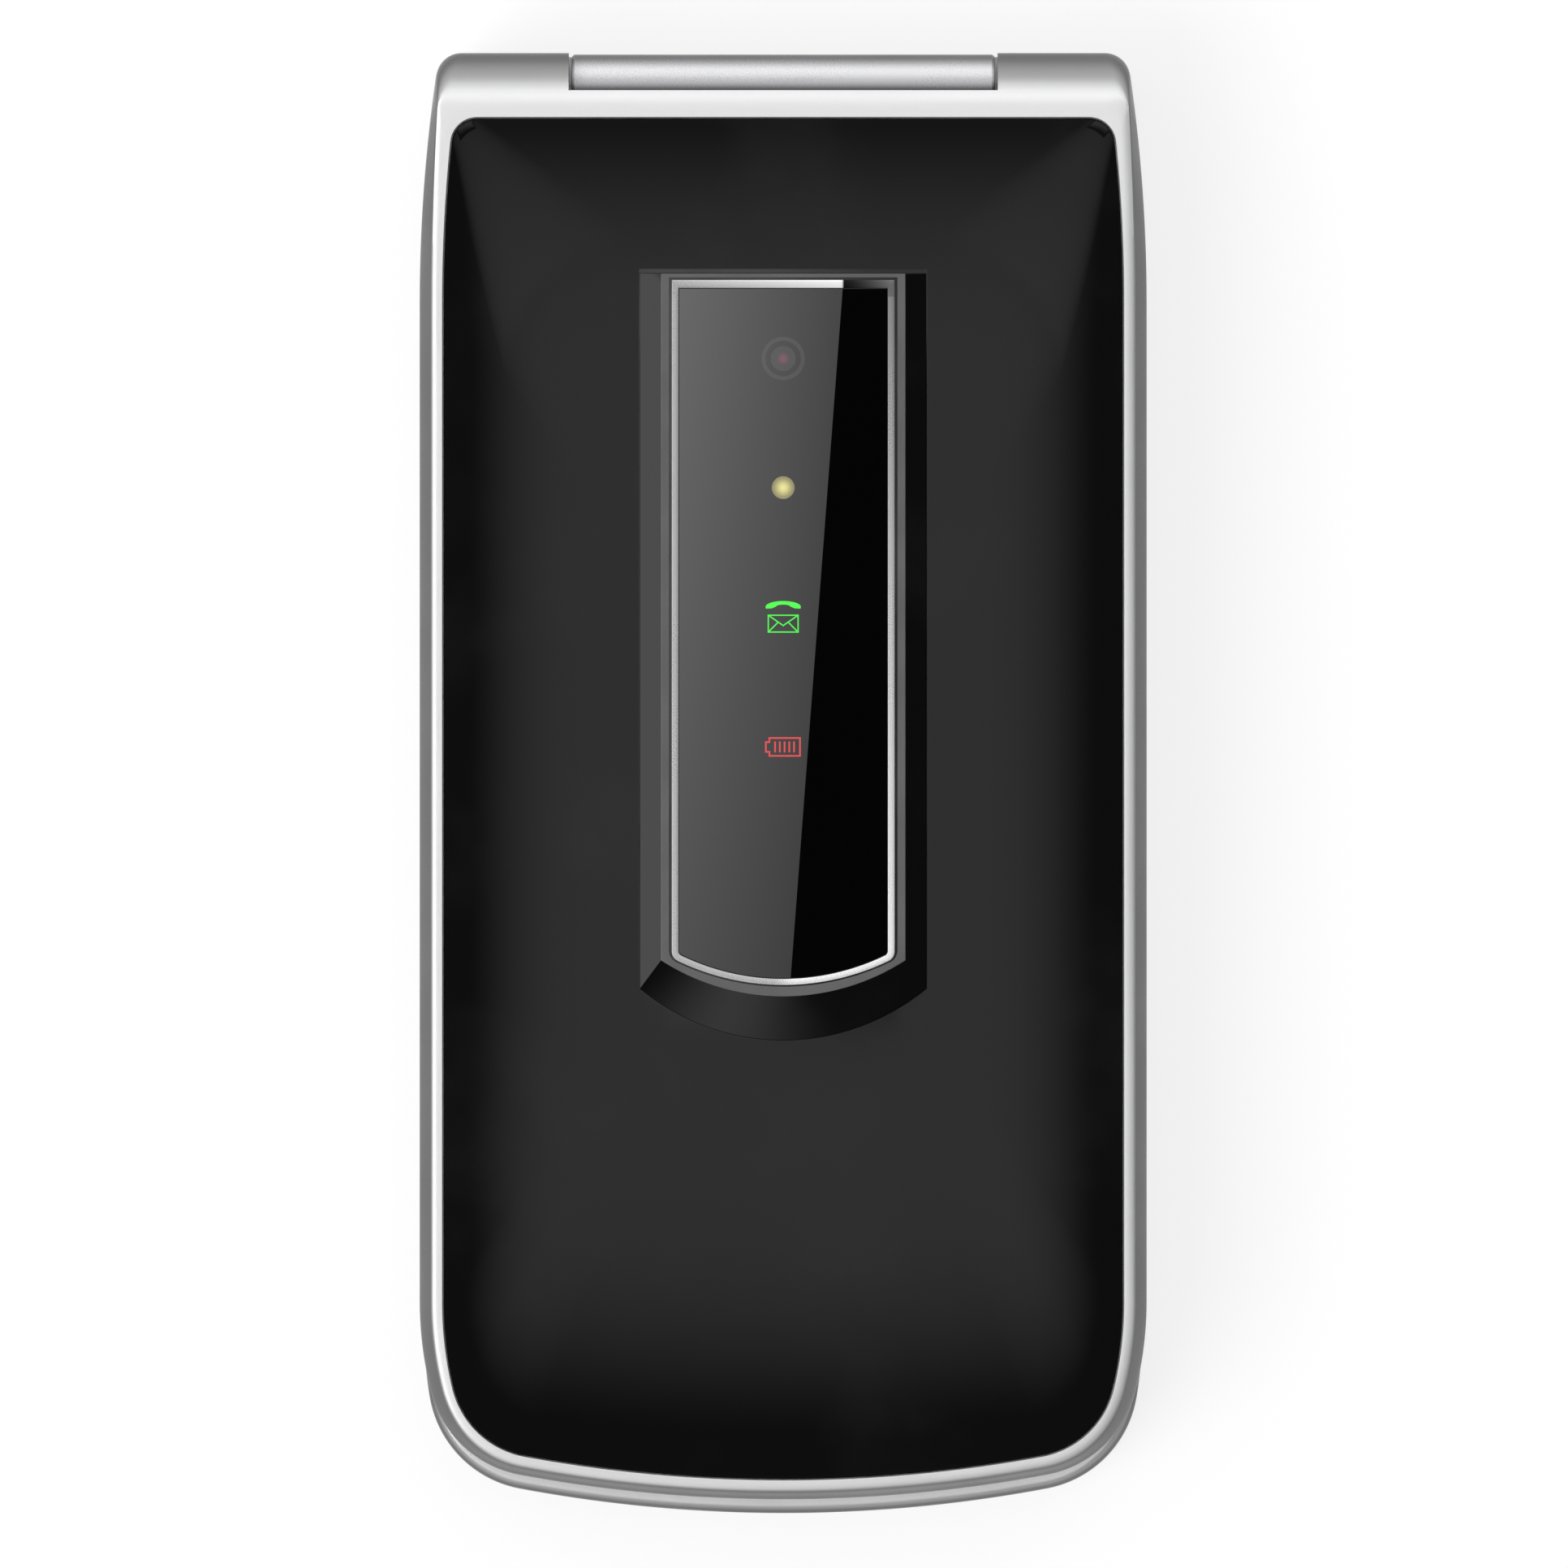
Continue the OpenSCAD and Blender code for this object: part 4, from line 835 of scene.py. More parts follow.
# Display window: a black border round a plain picture, which glows a little
def screenMaterial():
    material, tree, shader = newMaterial("screenWindow", Emission_Strength=0.12)
    x, y, _ = parts(tree, placed(tree))
    up = calc(tree, "SUBTRACT", y, screen["y"])
    inside = product(tree, ramp(tree, magnitude(tree, x), screen["halfX"], screen["halfX"] - 0.1),
                     ramp(tree, magnitude(tree, up), screen["halfY"], screen["halfY"] - 0.1))
    bend = product(tree, calc(tree, "SINE", product(tree, x, 0.16)), 5.0)
    sky = ramp(tree, calc(tree, "ADD", up, bend), -26.0, 24.0)
    colour = blended(tree, sky, (0.02, 0.11, 0.38), (0.11, 0.46, 0.68))
    hill = ramp(tree, calc(tree, "ADD", up, product(tree, bend, -0.7)), 9.0, 9.6)
    colour = blended(tree, hill, colour, (0.04, 0.24, 0.33))
    colour = blended(tree, inside, (0.003, 0.003, 0.0035), colour)
    coloured(tree, shader, colour)
    tree.links.new(colour, shader.inputs["Emission Color"])
    marks = useGroup(tree, handling, Polish=0.03, Smear=0.12)
    tree.links.new(marks["Roughness"], shader.inputs["Roughness"])
    return material


def displayWindow():
    rings = [(12.1, 0), (11.2, 0), (11.14, 0.03), (11.1, 0.1)]
    window = loft("displayWindow", [atHeight(roundedRect(0, -3, 46.2 - 2 * s, 68.2 - 2 * s, 2 - s), z)
                                    for z, s in reversed(rings)])
    finished(window, "displayWindow", "lid", screenMaterial(), ["display_window"], 25)
    white = grained("screenWhite", (0.86, 0.9, 0.94), 0.25, 0.35, 0.2, 0.0, 0.03)
    figure("clockFigures", "lid", "10:08", 9.5, 0, -10, screen["face"], white, True)
    z0, z1 = screen["face"] - 0.012, screen["face"] + 0.05
    bars = [block(-18.6 + 1.1 * i, -17.9 + 1.1 * i, -25.2 - 0.5 * i, -24.7, z0, z1) for i in range(4)]
    finished(joined("bars", bars), "signalBars", "lid", white)
    cell = rectLines(14.2, 18.0, -26.6, -24.8)
    cell += [((18.4, -26.1), (18.4, -25.3)), ((15.0, -25.7), (16.6, -25.7))]
    finished(strokes(cell, 0.28, z0, z1 - z0), "chargeMark", "lid", white)
    labels = [block(s * 13.5 - 4, s * 13.5 + 4, 23.6, 24.4, z0, z1) for s in (-1, 1)]
    finished(joined("labels", labels), "screenLabels", "lid", white)


def lidBumpers():
    pads = []
    for (x, y), z in ((screwPlaces["free"], 10.2), (screwPlaces["hinge"], 10.5)):
        profile = [(0, z), (0.9, z), (1.12, z + 0.04), (1.25, z + 0.13), (1.3, z + 0.3), (1.3, 11.4),
                   (0, 11.4)]
        pads += [lathe("pad", profile, 48, (s * x, y, 0)) for s in (-1, 1)]
    finished(joined("pads", pads), "lidBumpers", "lid", rubberGrey, ["lid_bumpers"])


innerHousing()
displayWindow()
lidBumpers()
print("inside of the lid made")


# The base and its cover

screwHoles = dict(low=(17.8, -48.2), high=(20.9, 40.3))


def opening():  # the wedge that the lid sweeps behind the hinge
    tool = block(-53, 53, 0, 20, -5.75, 14)
    tool.data.transform(Matrix.Translation(Vector((0, hinge["y"], hinge["z"])) * mm)
                        @ Matrix.Rotation(math.radians(180 - hinge["openAngle"]), 4, "X"))
    return tool


rocker = dict(y=25, z=5.3, half=7.4, r=1.1, x0=-26.8, x1=-24.4)


def stadium(half, r, x0, x1, n=24):  # the rocker's shape, across the side wall
    ring = []
    for i in range(n + 1):
        a = math.radians(-90 + 180 * i / n)
        ring.append((rocker["y"] + half - r + r * math.cos(a), rocker["z"] + r * math.sin(a)))
    for i in range(n + 1):
        a = math.radians(90 + 180 * i / n)
        ring.append((rocker["y"] - half + r + r * math.cos(a), rocker["z"] + r * math.sin(a)))
    return cleaned(loft("stadium", [[(x, y, z) for y, z in ring] for x in (x0, x1)]))


jack = dict(y=27, z=3.8, hole=2.7, noseR=2.55, boreR=1.8)
chargingSlot = dict(half=4, low=3.7, high=6.55)


def portCuts():
    half, low, high = chargingSlot.values()
    slot = block(-half, half, -55.1, -51, low, high)
    return [stadium(7.7, 1.25, -53, -23.9), rodX(jack["y"], jack["z"], jack["hole"], 23.3, 53), slot]


# Rings of the two shells: height, and how far the outline is drawn in there
frontRings = ((5.4, 0), (5.5, 0), (7.2, 0), (9.1, 0), (9.4, 0.02), (9.65, 0.06), (9.85, 0.12),
              (10.02, 0.2), (10.16, 0.29), (10.27, 0.39), (10.35, 0.49), (10.39, 0.57), (10.4, 0.64))
rearRings = ((0, 2.6), (0.03, 2.38), (0.1, 2.1), (0.25, 1.7), (0.45, 1.28), (0.7, 0.95), (1.0, 0.65),
             (1.4, 0.4), (1.9, 0.22), (2.4, 0.1), (2.9, 0.03), (3.4, 0), (5.4, 0))


def frontHousing():
    shell = loft("frontHousing", [atHeight(baseOutline(inset), z) for z, inset in frontRings])
    trough = hingeRod(hinge["troughR"], -53, 53, 200)
    shell = shaped(shell, cut=[prism(baseOutline(1.7), 5.3, 7.6), prism(baseOutline(3, 42), 7.5, 8.85),
                               prism(baseOutline(2.2, 42.9), 8.8, 11.4), trough, opening()])
    adds = [block(-hinge["barrelHalf"], hinge["barrelHalf"], 47.05, 49.55, 8.0, 12)]
    adds += [disc(x, y, 2, 6.35, 8.8, 32) for x, y in bothSides(screwHoles)]
    cuts = [hingeRod(hinge["barrelR"] + 0.02, -16.65, 16.65, 160), block(4, 11.5, 48.1, 48.7, 7.1, 14)]
    cuts += [disc(x, y, 0.82, 5.4, 8.5, 24) for x, y in bothSides(screwHoles)]
    shell = shaped(shell, add=adds, cut=cuts + portCuts())
    return finished(shell, "frontHousing", "base", silverWithPaintedShade, ["base_front_housing"], 28)


def rearLoft():
    return loft("rear", [atHeight(baseOutline(inset), z) for z, inset in rearRings])


sosY = 33


def rearHousing():
    tray = prism(baseOutline(2), 5.3, 6.3)
    cuts = [block(-21.6, 21.6, -59, 16.1, -1, 1.05), block(-22.5, 22.5, -59, 16.1, 0.55, 1.05),
            block(-17.7, 17.7, -44.2, 10.6, 1, 5.7), block(-6, 6, 10.5, 13, 2, 5),
            block(-6, 6, 11.5, 12.6, 4.9, 7.3), block(-23.4, 23.4, 17, 43.5, 1.2, 7.3),
            block(-23.4, -19.3, -40, 11, 2.2, 7.3), block(19.3, 23.4, -40, 11, 2.2, 7.3),
            block(-15, 15, -51.2, -46, 2.2, 7.3)]
    shell = shaped(rearLoft(), add=[tray], cut=cuts)
    posts, holes = [], []
    for end, low, high in (("high", -1, 1.6), ("low", 0.9, 2.1)):
        x, y = screwHoles[end]
        if end == "high":
            posts = [disc(s * x, y, 2.3, 1.0, 6.3, 40) for s in (-1, 1)]
        holes += [disc(s * x, y, 1.5, low, high, 40) for s in (-1, 1)]
        holes += [disc(s * x, y, 0.9, 1, 7.3, 24) for s in (-1, 1)]
    rim = [(0, -1), (5.6, -1), (5.25, 0.02), (4.95, 0.14), (4.95, 1.3), (0, 1.3)]
    holes += [lathe("sosHole", rim, 96, (0, sosY, 0))]
    for i in range(-2, 3):  # slots of the ringer
        holes.append(prism(roundedRect(-12.5, 31 + 2.2 * i, 7, 0.8, 0.39, 5), -1, 1.3))
    holes += [block(s * 10.5 - 1.3, s * 10.5 + 1.3, -55.1, -51, 2.4, 4) for s in (-1, 1)]
    shell = shaped(shell, add=posts, cut=holes + portCuts())
    return finished(shell, "rearHousing", "base", softBlack, ["base_rear_housing"], 30)


def slidingCover():
    cover = rearLoft()
    keep = block(-21.5, 21.5, -55.1, 16, -1, 1)
    m = cover.modifiers.new("keep", "BOOLEAN")
    m.operation, m.object, m.solver = "INTERSECT", keep, "EXACT"
    applied(cover)
    bpy.data.objects.remove(keep)
    rails = [block(s * 21.9 - 0.5, s * 21.9 + 0.5, -44, 16, 0.6, 1) for s in (-1, 1)]
    grips = [prism(roundedRect(0, 11.7 - 1.3 * i, 14 - 2 * i, 0.6, 0.29, 5), -1, 0.25) for i in range(5)]
    cover = shaped(cover, add=rails, cut=grips)
    cover = softened(cover, 0.07, 2, 50)
    return finished(cover, "slidingCover", "battery_cover_body", softBlack, ["battery_cover"], 30)


frontHousing()
rearHousing()
slidingCover()
print("base shells made")


# Fixed barrel between the knuckles: cool silver with painted shading, a painted highlight along its middle
# and painted shade towards both of its long edges
def barrelMaterial():
    material, tree, shader = newMaterial("barrelPaintedShading", Metallic=0.6, Specular_IOR_Level=0.25)
    y = parts(tree, placed(tree))["Y"]
    away = magnitude(tree, calc(tree, "SUBTRACT", y, 52.55))
    # painted highlight centred on y 52.55, painted shade on both sides of it, a mid tone where y is below the
    # axis
    centre = calc(tree, "MAXIMUM", ramp(tree, away, 1.4, 0.0), ramp(tree, y, 51.0, 49.8, 0.0, 0.55))
    coloured(tree, shader, blended(tree, centre, (0.032, 0.031, 0.036), (0.96, 0.96, 0.975)))
    bump(tree, shader, roughened(tree, shader, 0.1, 0.26, 0.34), 0.03, 0.01)
    return material


def hingeBarrel(material):
    half, r = hinge["barrelHalf"], hinge["barrelR"]
    profile = [(2.95, -half), (r - 0.25, -half), (r - 0.1, -half + 0.05), (r, -half + 0.2),
               (r, half - 0.2), (r - 0.1, half - 0.05), (r - 0.25, half), (2.25, half), (2.25, 13.4),
               (2.9, 13.4), (2.9, 1), (0.5, 1), (0.5, -1), (2.95, -1)]
    barrel = lathe("hingeBarrel", profile, 160, (0, hinge["y"], hinge["z"]), "X", closed=True)
    barrel = shaped(barrel, cut=[block(4, 11.5, 48.1, 48.7, 8.8, 12)])
    return finished(barrel, "hingeBarrel", "base", material, ["hinge_barrel"], 30)


hingeBarrel(barrelMaterial())
print("hinge made")


# The keypad

keypad = dict(pitchX=15.9, pitchY=13.4, topY=6.5, w=14.3, h=11.6, r=2.5, lip=0.45, sideX=17.55, sideW=10.8,
              sideLip=0.4, softY=33, softH=6.5, callY=22, callH=9, low=8.1, flange=8.7, top=10.6, gap=0.15)
capRings = ((8.7, 0), (10.1, 0), (10.25, 0.03), (10.37, 0.1), (10.46, 0.23), (10.52, 0.42), (10.55, 0.8),
            (10.58, 1.6), (10.6, 2.4))
nav = dict(y=27, w=21.4, h=19.6, r=7, hole=4.6, low=8.85)


def keyPlaces():  # name of the key, its place and its size
    k = keypad
    places = []
    for i, label in enumerate(("1", "2", "3", "4", "5", "6", "7", "8", "9", "star", "0", "hash")):
        x, y = (i % 3 - 1) * k["pitchX"], k["topY"] - i // 3 * k["pitchY"]
        places.append(("key_" + label, x, y, k["w"], k["h"], k["lip"]))
    for side, soft, call in ((-1, "soft_key_left", "call_key"), (1, "soft_key_right", "end_key")):
        places.append((soft, side * k["sideX"], k["softY"], k["sideW"], k["softH"], k["sideLip"]))
        places.append((call, side * k["sideX"], k["callY"], k["sideW"], k["callH"], k["sideLip"]))
    return places


def cap(node, x, y, w, h, lip):
    rings = [(keypad["low"], -lip), (keypad["flange"], -lip)] + list(capRings)
    key = loft("cap", [atHeight(roundedRect(x, y, w - 2 * s, h - 2 * s, max(keypad["r"] - s, 0.4)), z)
                       for z, s in rings])
    finished(key, "cap." + node, node + "_body", keyBlack, [node], 25)


def legends(node, x, y):
    body, z = node + "_body", keypad["top"] - 0.04
    if node.startswith("key_"):
        text = {"star": "*", "hash": "#"}.get(node[4:], node[4:])
        figure("figure." + node, body, text, 11 if text == "*" else 7.6, x, y, z, legendWhite)
    elif node.startswith("soft"):
        dash = prism(roundedRect(x, y, 3.6, 0.7, 0.34), z, z + 0.05)
        finished(dash, "dash." + node, body, legendWhite)
    else:
        turn, material = (35, callGreen) if node == "call_key" else (0, endRed)
        shape = prism(handset(x, y, 2.1, turn), z, z + 0.05)
        finished(shape, "mark." + node, body, material)


def faceplate():
    rings = [(8.8, 0), (9.93, 0), (10.02, 0.04), (10.08, 0.11), (10.1, 0.2)]
    plate = loft("faceplate", [atHeight(baseOutline(2.3 + s, 42.8 - s), z) for z, s in rings])
    g = keypad["gap"]
    holes = [prism(roundedRect(x, y, w + 2 * g, h + 2 * g, keypad["r"] + g), 8, 11)
             for _, x, y, w, h, _ in keyPlaces()]
    holes += [prism(roundedRect(0, nav["y"], nav["w"] + 0.6, nav["h"] + 0.6, nav["r"] + 0.3, 12), 8, 11),
              disc(0, -47, 0.5, 8, 11, 32)]
    plate = shaped(plate, cut=[joined("holes", holes)])
    plate = softened(plate, 0.06, 2, 60)
    finished(plate, "faceplate", "base", pianoBlack, ["keypad_faceplate"], 30)


def navigation():
    y, body = nav["y"], "navigation_ring_body"
    rings = [(nav["low"], 0), (10.02, 0), (10.17, 0.03), (10.28, 0.1), (10.35, 0.2), (10.39, 0.35),
             (10.4, 0.55), (10.38, 1.2), (10.3, 3.2), (10.26, 4.4)]
    ring = loft("ring", [atHeight(roundedRect(0, y, nav["w"] - 2 * s, nav["h"] - 2 * s,
                                              max(nav["r"] - s, 1), 12), z) for z, s in rings])
    r = nav["hole"]
    profile = [(0, 8), (r, 8), (r, 10.1), (r + 0.06, 10.17), (r + 0.2, 10.24), (r + 0.3, 11), (0, 11)]
    hole = lathe("hole", profile, 96, (0, y, 0))
    ribs = [lathe("rib", [(0, y0), (0.3, y0), (0.3, y0 + 3.2), (0, y0 + 3.2)], 24, (0, 0, 8.72), "Y")
            for y0 in (y - 8.8, y + 5.6)]
    finished(shaped(ring, add=ribs, cut=[hole]), "navigationRing", body, gateShadedSilver,
             ["navigation_ring"], 25)
    arrows = []
    for turn in range(4):
        c, s = round(math.cos(math.pi / 2 * turn)), round(math.sin(math.pi / 2 * turn))
        reach = 8.1 if turn % 2 else 8.9
        corners = [(reach, 0), (reach - 1.2, 1.05), (reach - 1.2, -1.05)]
        arrows.append(prism([(px * c - py * s, y + px * s + py * c) for px, py in corners], 10.25, 10.412))
    finished(joined("arrows", arrows), "navigationArrows", body, mouldedBlack)
    profile = [(0, 8.1), (5.1, 8.1), (5.1, 8.6), (4.4, 8.6), (4.4, 10.22), (4.36, 10.33), (4.26, 10.41),
               (4.08, 10.45), (3.6, 10.44), (2.4, 10.4), (0, 10.38)]
    key = lathe("okKey", profile, 96, (0, y, 0))
    finished(key, "okKey", "ok_key_body", keyBlack, ["ok_key"], 30)
    finished(annulus(1.15, 1.45, y, 10.3, 10.41), "okMark", "ok_key_body", legendWhite)


def volumeRocker():
    rock = stadium(rocker["half"], rocker["r"], rocker["x0"], rocker["x1"])
    rock = softened(shaped(rock, add=[disc(rocker["x1"], rocker["y"], 0.45, 4.2, 6.4, 32)]), 0.2, 3, 50)
    body, x0, x1 = "volume_rocker_body", rocker["x0"] - 0.012, rocker["x0"] + 0.1
    finished(rock, "volumeRocker", body, gateShadedSilver, ["volume_rocker"], 30)
    plus = shaped(block(x0, x1, 28.9, 30.3, 5.2, 5.4), add=[block(x0, x1, 29.5, 29.7, 4.6, 6.0)])
    marks = joined("marks", [plus, block(x0, x1, 19.7, 21.1, 5.2, 5.4)])
    finished(marks, "rockerMarks", body, mouldedBlack)


for place in keyPlaces():
    cap(*place)
    legends(*place[:3])
faceplate()
navigation()
volumeRocker()
print("keypad made")


# The back, its screws, the headphone socket and the battery

def sosButton():
    profile = [(0, 0.44), (1.4, 0.42), (2.85, 0.36), (2.9, 0.44), (3.1, 0.44), (3.15, 0.34), (4.1, 0.26),
               (4.45, 0.27), (4.66, 0.33), (4.77, 0.45), (4.8, 0.6), (4.8, 1.35), (5.6, 1.35), (5.6, 1.85),
               (1.2, 1.85), (1.2, 5.9), (0, 5.9)]
    finished(lathe("sosButton", profile, 128, (0, sosY, 0)), "sosButton", "sos_button_body",
             sosOrange, ["sos_button"], 35)


def baseScrews():
    screws = []
    for (x, y), z in ((screwHoles["low"], 1.1), (screwHoles["high"], 0.6)):
        profile = [(0, z), (1.1, z), (1.3, z + 0.07), (1.4, z + 0.22), (1.4, z + 1), (0.8, z + 1), (0.8, 8.4),
                   (0, 8.4)]
        for s in (-1, 1):
            screw = lathe("screw", profile, 48, (s * x, y, 0))
            cross = [block(s * x - a, s * x + a, y - b, y + b, z - 1, z + 0.5)
                     for a, b in ((0.8, 0.16), (0.16, 0.8))]
            screws.append(shaped(screw, cut=cross))
    finished(joined("screws", screws), "baseScrews", "base", plainSteel, ["base_screws"], 30)


def headphoneJack():
    centre, r, hole = (0, jack["y"], jack["z"]), jack["noseR"], jack["boreR"]
    outside = [(0, 23.1), (r, 23.1), (r, 26.1), (r - 0.15, 26.3), (0, 26.3)]
    inside = [(0, 11.5), (hole, 11.5), (hole, 26.1), (hole + 0.3, 26.4), (0, 26.4)]
    nose, bore = lathe("nose", outside, 64, centre, "X"), lathe("bore", inside, 64, centre, "X")
    socket = shaped(block(12.5, 23.2, 23.8, 30.2, 1.35, 6.4), add=[nose], cut=[bore])
    finished(socket, "headphoneJack", "base", mouldedBlack, ["headphone_jack"], 35)


# Battery: dark wrap with a pale plain label on the face that shows when the cover is off
def batteryPack():
    cell = dict(y=-16.8, w=34.8, l=54.2, z0=1.2, z1=5.05)
    material, tree, shader = newMaterial("batteryFace")
    x, y, z = parts(tree, placed(tree))
    along = calc(tree, "SUBTRACT", y, cell["y"])
    label = product(tree, ramp(tree, magnitude(tree, x), 14.05, 13.95),
                    ramp(tree, magnitude(tree, along), 22.05, 21.95), calc(tree, "LESS_THAN", z, 2.0))
    band = product(tree, label, ramp(tree, along, 11.9, 12.0))
    wear = ramp(tree, noise(tree, placed(tree), 0.3, 4.0, 0.6), 0.35, 0.7)
    wrap = blended(tree, wear, (0.030, 0.033, 0.040), (0.045, 0.048, 0.056))
    wrap = blended(tree, label, wrap, (0.42, 0.42, 0.41))
    coloured(tree, shader, blended(tree, band, wrap, (0.05, 0.16, 0.34)))
    roughened(tree, shader, 0.8, 0.3, 0.48)
    pack = prism(roundedRect(0, cell["y"], cell["w"], cell["l"], 1.2), cell["z0"], cell["z1"])
    finished(softened(pack, 0.5, 4, 50), "batteryPack", "base", material, ["battery"], 30)


sosButton()
baseScrews()
headphoneJack()
batteryPack()
print("back made")


# Finishes of the CAD nodes that stay

def meshMaterial():  # steel sheet with a fine grid of holes
    material, tree, shader = newMaterial("holeMesh", Metallic=1.0)
    x, y, _ = parts(tree, placed(tree))
    waves = [calc(tree, "COSINE", product(tree, axis, 14.0)) for axis in (x, y)]
    hole = ramp(tree, calc(tree, "ADD", *waves), 0.1, 0.6)
    coloured(tree, shader, blended(tree, hole, (0.42, 0.42, 0.43), (0.01, 0.01, 0.01)))
    roughened(tree, shader, 0.2, 0.25, 0.4)
    bump(tree, shader, hole, -0.6, 0.05)
    return material


kept = (
    (boardGreen, ("main_circuit_board", "lid_circuit_board")),
    (domeFilm, ("dome_sheet",)),
    (goldContact, ("battery_contacts", "dock_contacts")),
    (plainSteel, ("sim_card_holder", "vibration_motor", "microphone", "usb_port", "lid_screws",
                  "hinge_cartridge_case", "hinge_cartridge_spring", "hinge_cam_shaft")),
    (mouldedBlack, ("ringer_speaker", "earpiece_speaker", "camera_module")),
    (softBlack, ("navigation_pivot",)),
    (gateShadedSilver, ("hinge_sleeve",)),
    (flexAmber, ("hinge_flex",)),
    (paleLight, ("flash_led", "indicator_leds")),
    (lensGlass, ("camera_lens",)),
    (displayBack, ("display_module",)),
    (meshMaterial(), ("earpiece_mesh",)),
)
for material, nodes in kept:
    for node in nodes:
        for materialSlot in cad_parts[node].material_slots:
            materialSlot.material = material
print("kept nodes finished")


# Floor, light and camera

def floorMaterial():
    material, tree, shader = newMaterial("paleFloor", Base_Color=(0.92, 0.92, 0.92), Roughness=0.7,
                                         Specular_IOR_Level=0.2)
    output = tree.nodes["Material Output"]
    path = tree.nodes.new("ShaderNodeLightPath")
    seen = calc(tree, "MAXIMUM", path.outputs["Is Camera Ray"], calc(
        tree, "MAXIMUM", path.outputs["Is Glossy Ray"], path.outputs["Is Transmission Ray"]))
    white = tree.nodes.new("ShaderNodeEmission")
    white.inputs["Strength"].default_value = 1.0
    mix = tree.nodes.new("ShaderNodeMixShader")
    tree.links.new(calc(tree, "MULTIPLY", seen, 0.8), mix.inputs[0])
    tree.links.new(shader.outputs[0], mix.inputs[1])
    tree.links.new(white.outputs[0], mix.inputs[2])
    tree.links.new(mix.outputs[0], output.inputs["Surface"])
    field = useGroup(tree, grain, Size=0.8, Smooth=0.65, Rough=0.75)
    bump(tree, shader, field["Height"], 0.02)
    return material


ground = dict(r=30000, z=-0.01, corners=96)


def paleFloor():
    n = ground["corners"]
    floor = makeObject("paleFloor", atHeight(circle(0, 0, ground["r"], n), ground["z"]), [tuple(range(n))])
    floor.data.materials.append(floorMaterial())


# Card high over the phone that the flat window glass mirrors: bright to the left of a slanting
# edge, black to its right
card = dict(z=1200, left=-15, right=14, low=-26, high=54, strength=3.5)
view = dict(lens=1000, sensor=36, width=115.92, x=0.06, y=-0.02, plane=19.5)


def reflectionCard():
    reach = view["width"] * view["lens"] / view["sensor"]  # from the camera to the object's plane
    k = 1 + (card["z"] - 20.7) / (reach - (20.7 - view["plane"]))
    material = bpy.data.materials.new("reflectionCard")
    material.use_nodes = True
    tree = material.node_tree
    tree.nodes.clear()
    output = tree.nodes.new("ShaderNodeOutputMaterial")
    light = tree.nodes.new("ShaderNodeEmission")
    x, y, _ = parts(tree, placed(tree))
    edge = ramp(tree, y, -15.02 * k, 36.64 * k, 0.48 * k, 4.38 * k, "LINEAR")
    leftOf = calc(tree, "LESS_THAN", x, edge)
    across = ramp(tree, x, -8.0 * k, 4.0 * k, 1.0, 0.46, "LINEAR")
    along = ramp(tree, y, -15.0 * k, 36.0 * k, 0.57, 1.0, "LINEAR")
    strength = product(tree, across, along, leftOf, card["strength"])
    tree.links.new(strength, light.inputs["Strength"])
    tree.links.new(light.outputs[0], output.inputs["Surface"])
    corners = [(x, y, card["z"]) for x, y in ((card["left"], card["low"]), (card["left"], card["high"]),
                                              (card["right"], card["high"]), (card["right"], card["low"]))]
    sheet = makeObject("reflectionCard", corners, [(0, 1, 2, 3)])
    sheet.data.materials.append(material)
    for name in ("visible_camera", "visible_diffuse", "visible_shadow", "visible_transmission",
                 "visible_volume_scatter"):
        setattr(sheet, name, False)


studioLevel = dict(base=0.06, ring=0.55, overhead=1.2, left=2.0, front=0.98, back=1.05)


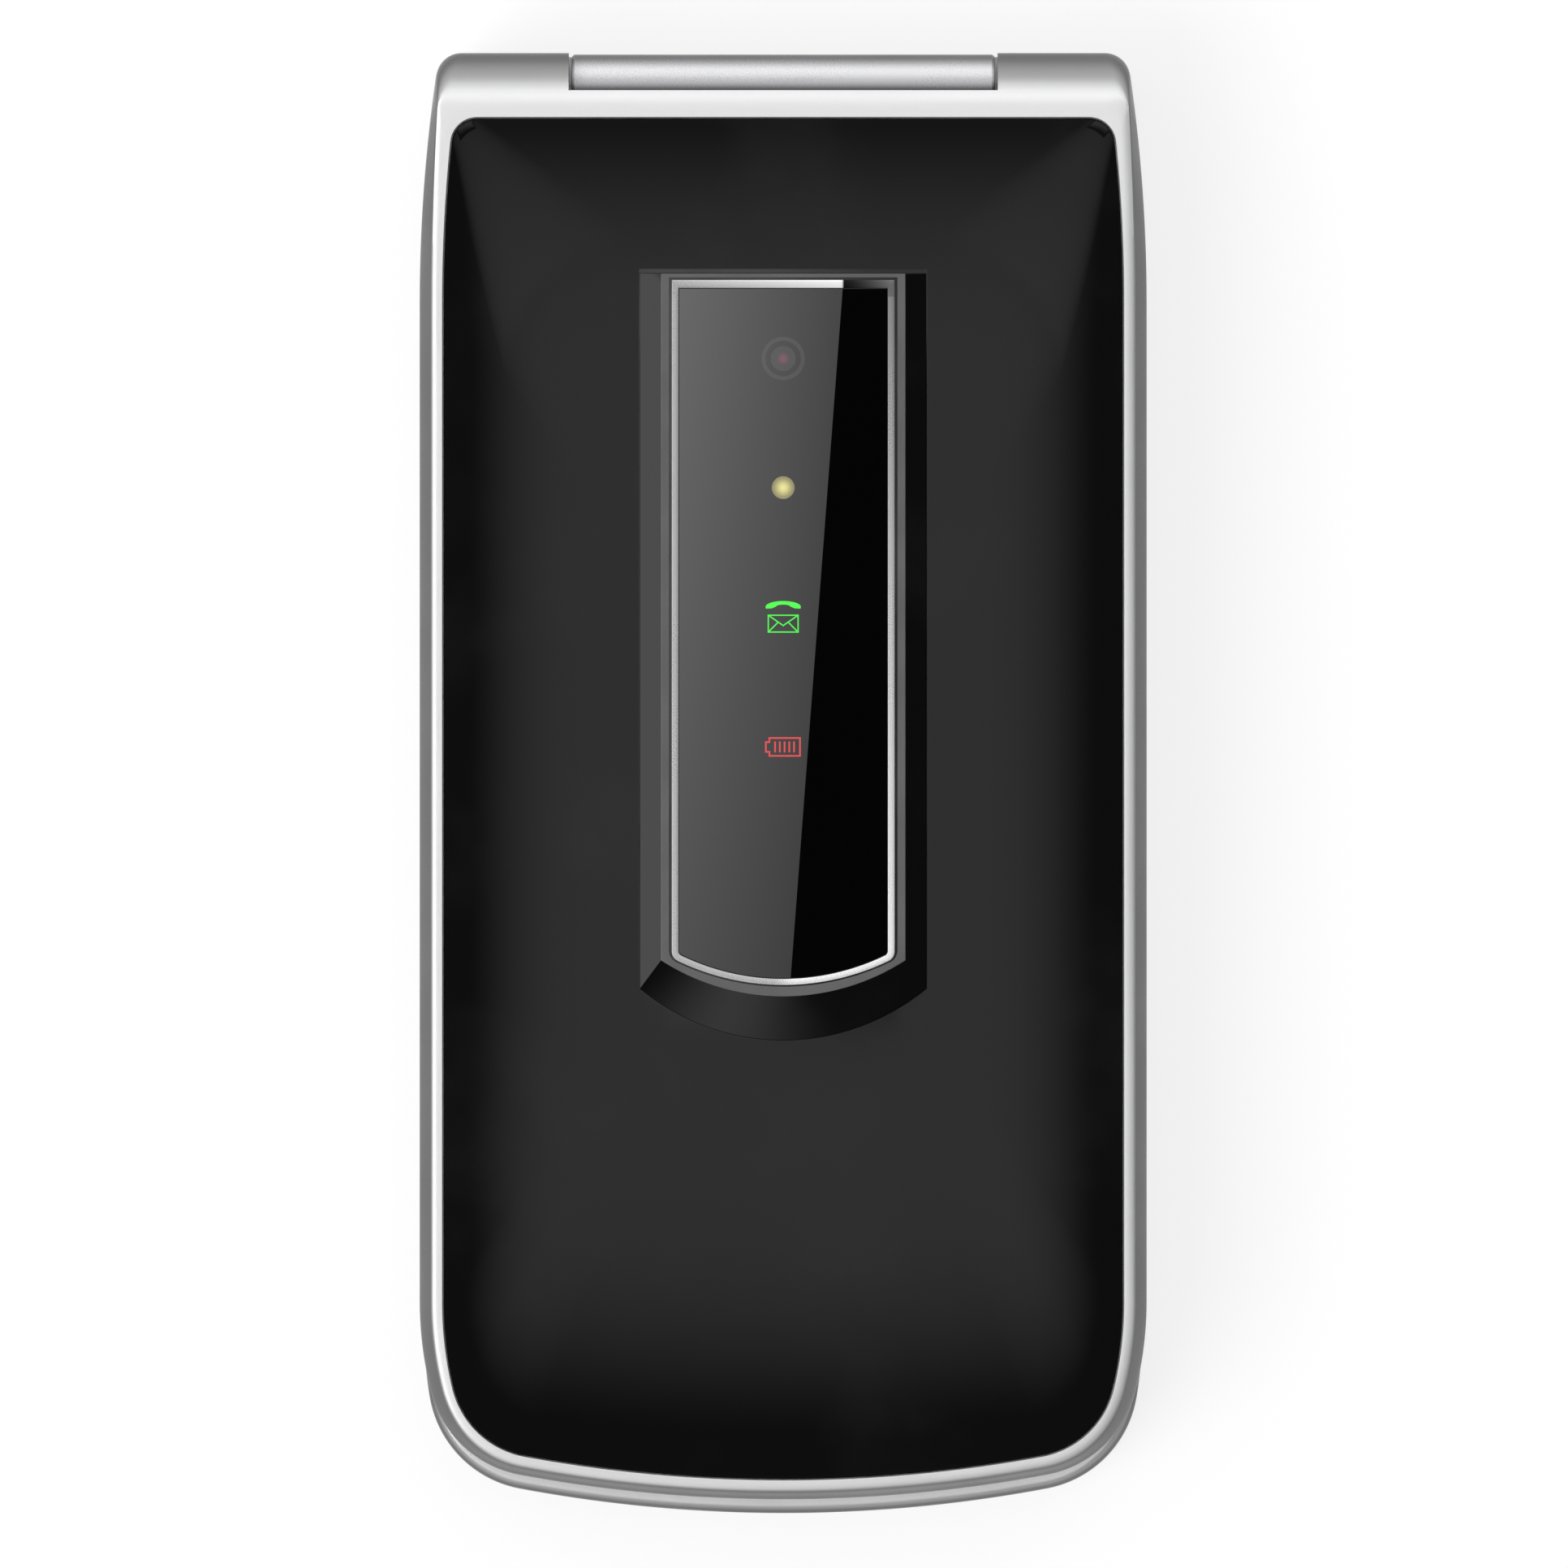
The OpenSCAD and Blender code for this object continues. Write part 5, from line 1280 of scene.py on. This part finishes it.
def studio():
    world = bpy.data.worlds.new("studio")
    bpy.context.scene.world = world
    world.use_nodes = True
    tree = world.node_tree
    coord = tree.nodes.new("ShaderNodeTexCoord")
    x, y, z = parts(tree, coord.outputs["Generated"])
    up = calc(tree, "MAXIMUM", z, 0.02)
    sideways, forward = calc(tree, "DIVIDE", x, up), calc(tree, "DIVIDE", y, up)

    across = ramp(tree, magnitude(tree, sideways), 0.03, 0.25, 1, 0)
    along = product(tree, ramp(tree, forward, -0.14, -0.02, 0, 1), ramp(tree, forward, 0.03, 0.20, 1, 0))
    overhead = calc(tree, "SUBTRACT", calc(tree, "ADD", across, along), 1, clamp=True)  # dark in its corners
    left = product(tree, ramp(tree, x, -0.40, -0.62, 0, 1), ramp(tree, magnitude(tree, y), 0.3, 0.8, 1, 0))
    front = product(tree, ramp(tree, y, -0.24, -0.38, 0, 1),
                    ramp(tree, magnitude(tree, calc(tree, "ADD", x, 0.1)), 0.0, 0.18, 1, 0))
    back = product(tree, ramp(tree, y, 0.18, 0.42, 0, 1), ramp(tree, magnitude(tree, x), 0.5, 0.95, 1, 0))
    high = ramp(tree, z, 0.43, 0.53)  # the soft boxes stay well over the horizon
    ring = ramp(tree, z, 0.12, 0.5, 1, 0)
    total = calc(tree, "ADD", studioLevel["base"], product(tree, ring, studioLevel["ring"]))
    for name, mask in (("overhead", overhead), ("left", left), ("front", front), ("back", back)):
        total = calc(tree, "ADD", total, product(tree, mask, high, studioLevel[name]))
    tree.links.new(total, tree.nodes["Background"].inputs["Strength"])
    tree.nodes["Background"].inputs["Color"].default_value = (1, 1, 1, 1)


def softSun(name, direction, strength, spread):
    data = bpy.data.lights.new(name, "SUN")
    data.energy, data.angle = strength, math.radians(spread)
    lamp = bpy.data.objects.new(name, data)
    lamp.rotation_mode = "QUATERNION"
    lamp.rotation_quaternion = Vector(direction).to_track_quat("Z", "Y")
    lamp.visible_glossy = False
    bpy.context.scene.collection.objects.link(lamp)


def planCamera():
    data = bpy.data.cameras.new("planCamera")
    data.lens, data.sensor_width = view["lens"], view["sensor"]
    data.clip_start, data.clip_end = 0.1, 100
    camera = bpy.data.objects.new("planCamera", data)
    reach = view["width"] * view["lens"] / view["sensor"]
    camera.location = (view["x"] * mm, view["y"] * mm, (view["plane"] + reach) * mm)
    bpy.context.scene.collection.objects.link(camera)
    bpy.context.scene.camera = camera


paleFloor()
reflectionCard()
studio()
softSun("keyLight", (-0.42, -0.30, 0.86), 1.9, 30)
softSun("fillLight", (0.30, 0.25, 0.92), 0.45, 40)
planCamera()
bpy.context.scene.view_settings.view_transform = "Standard"
print("floor, light and camera made")
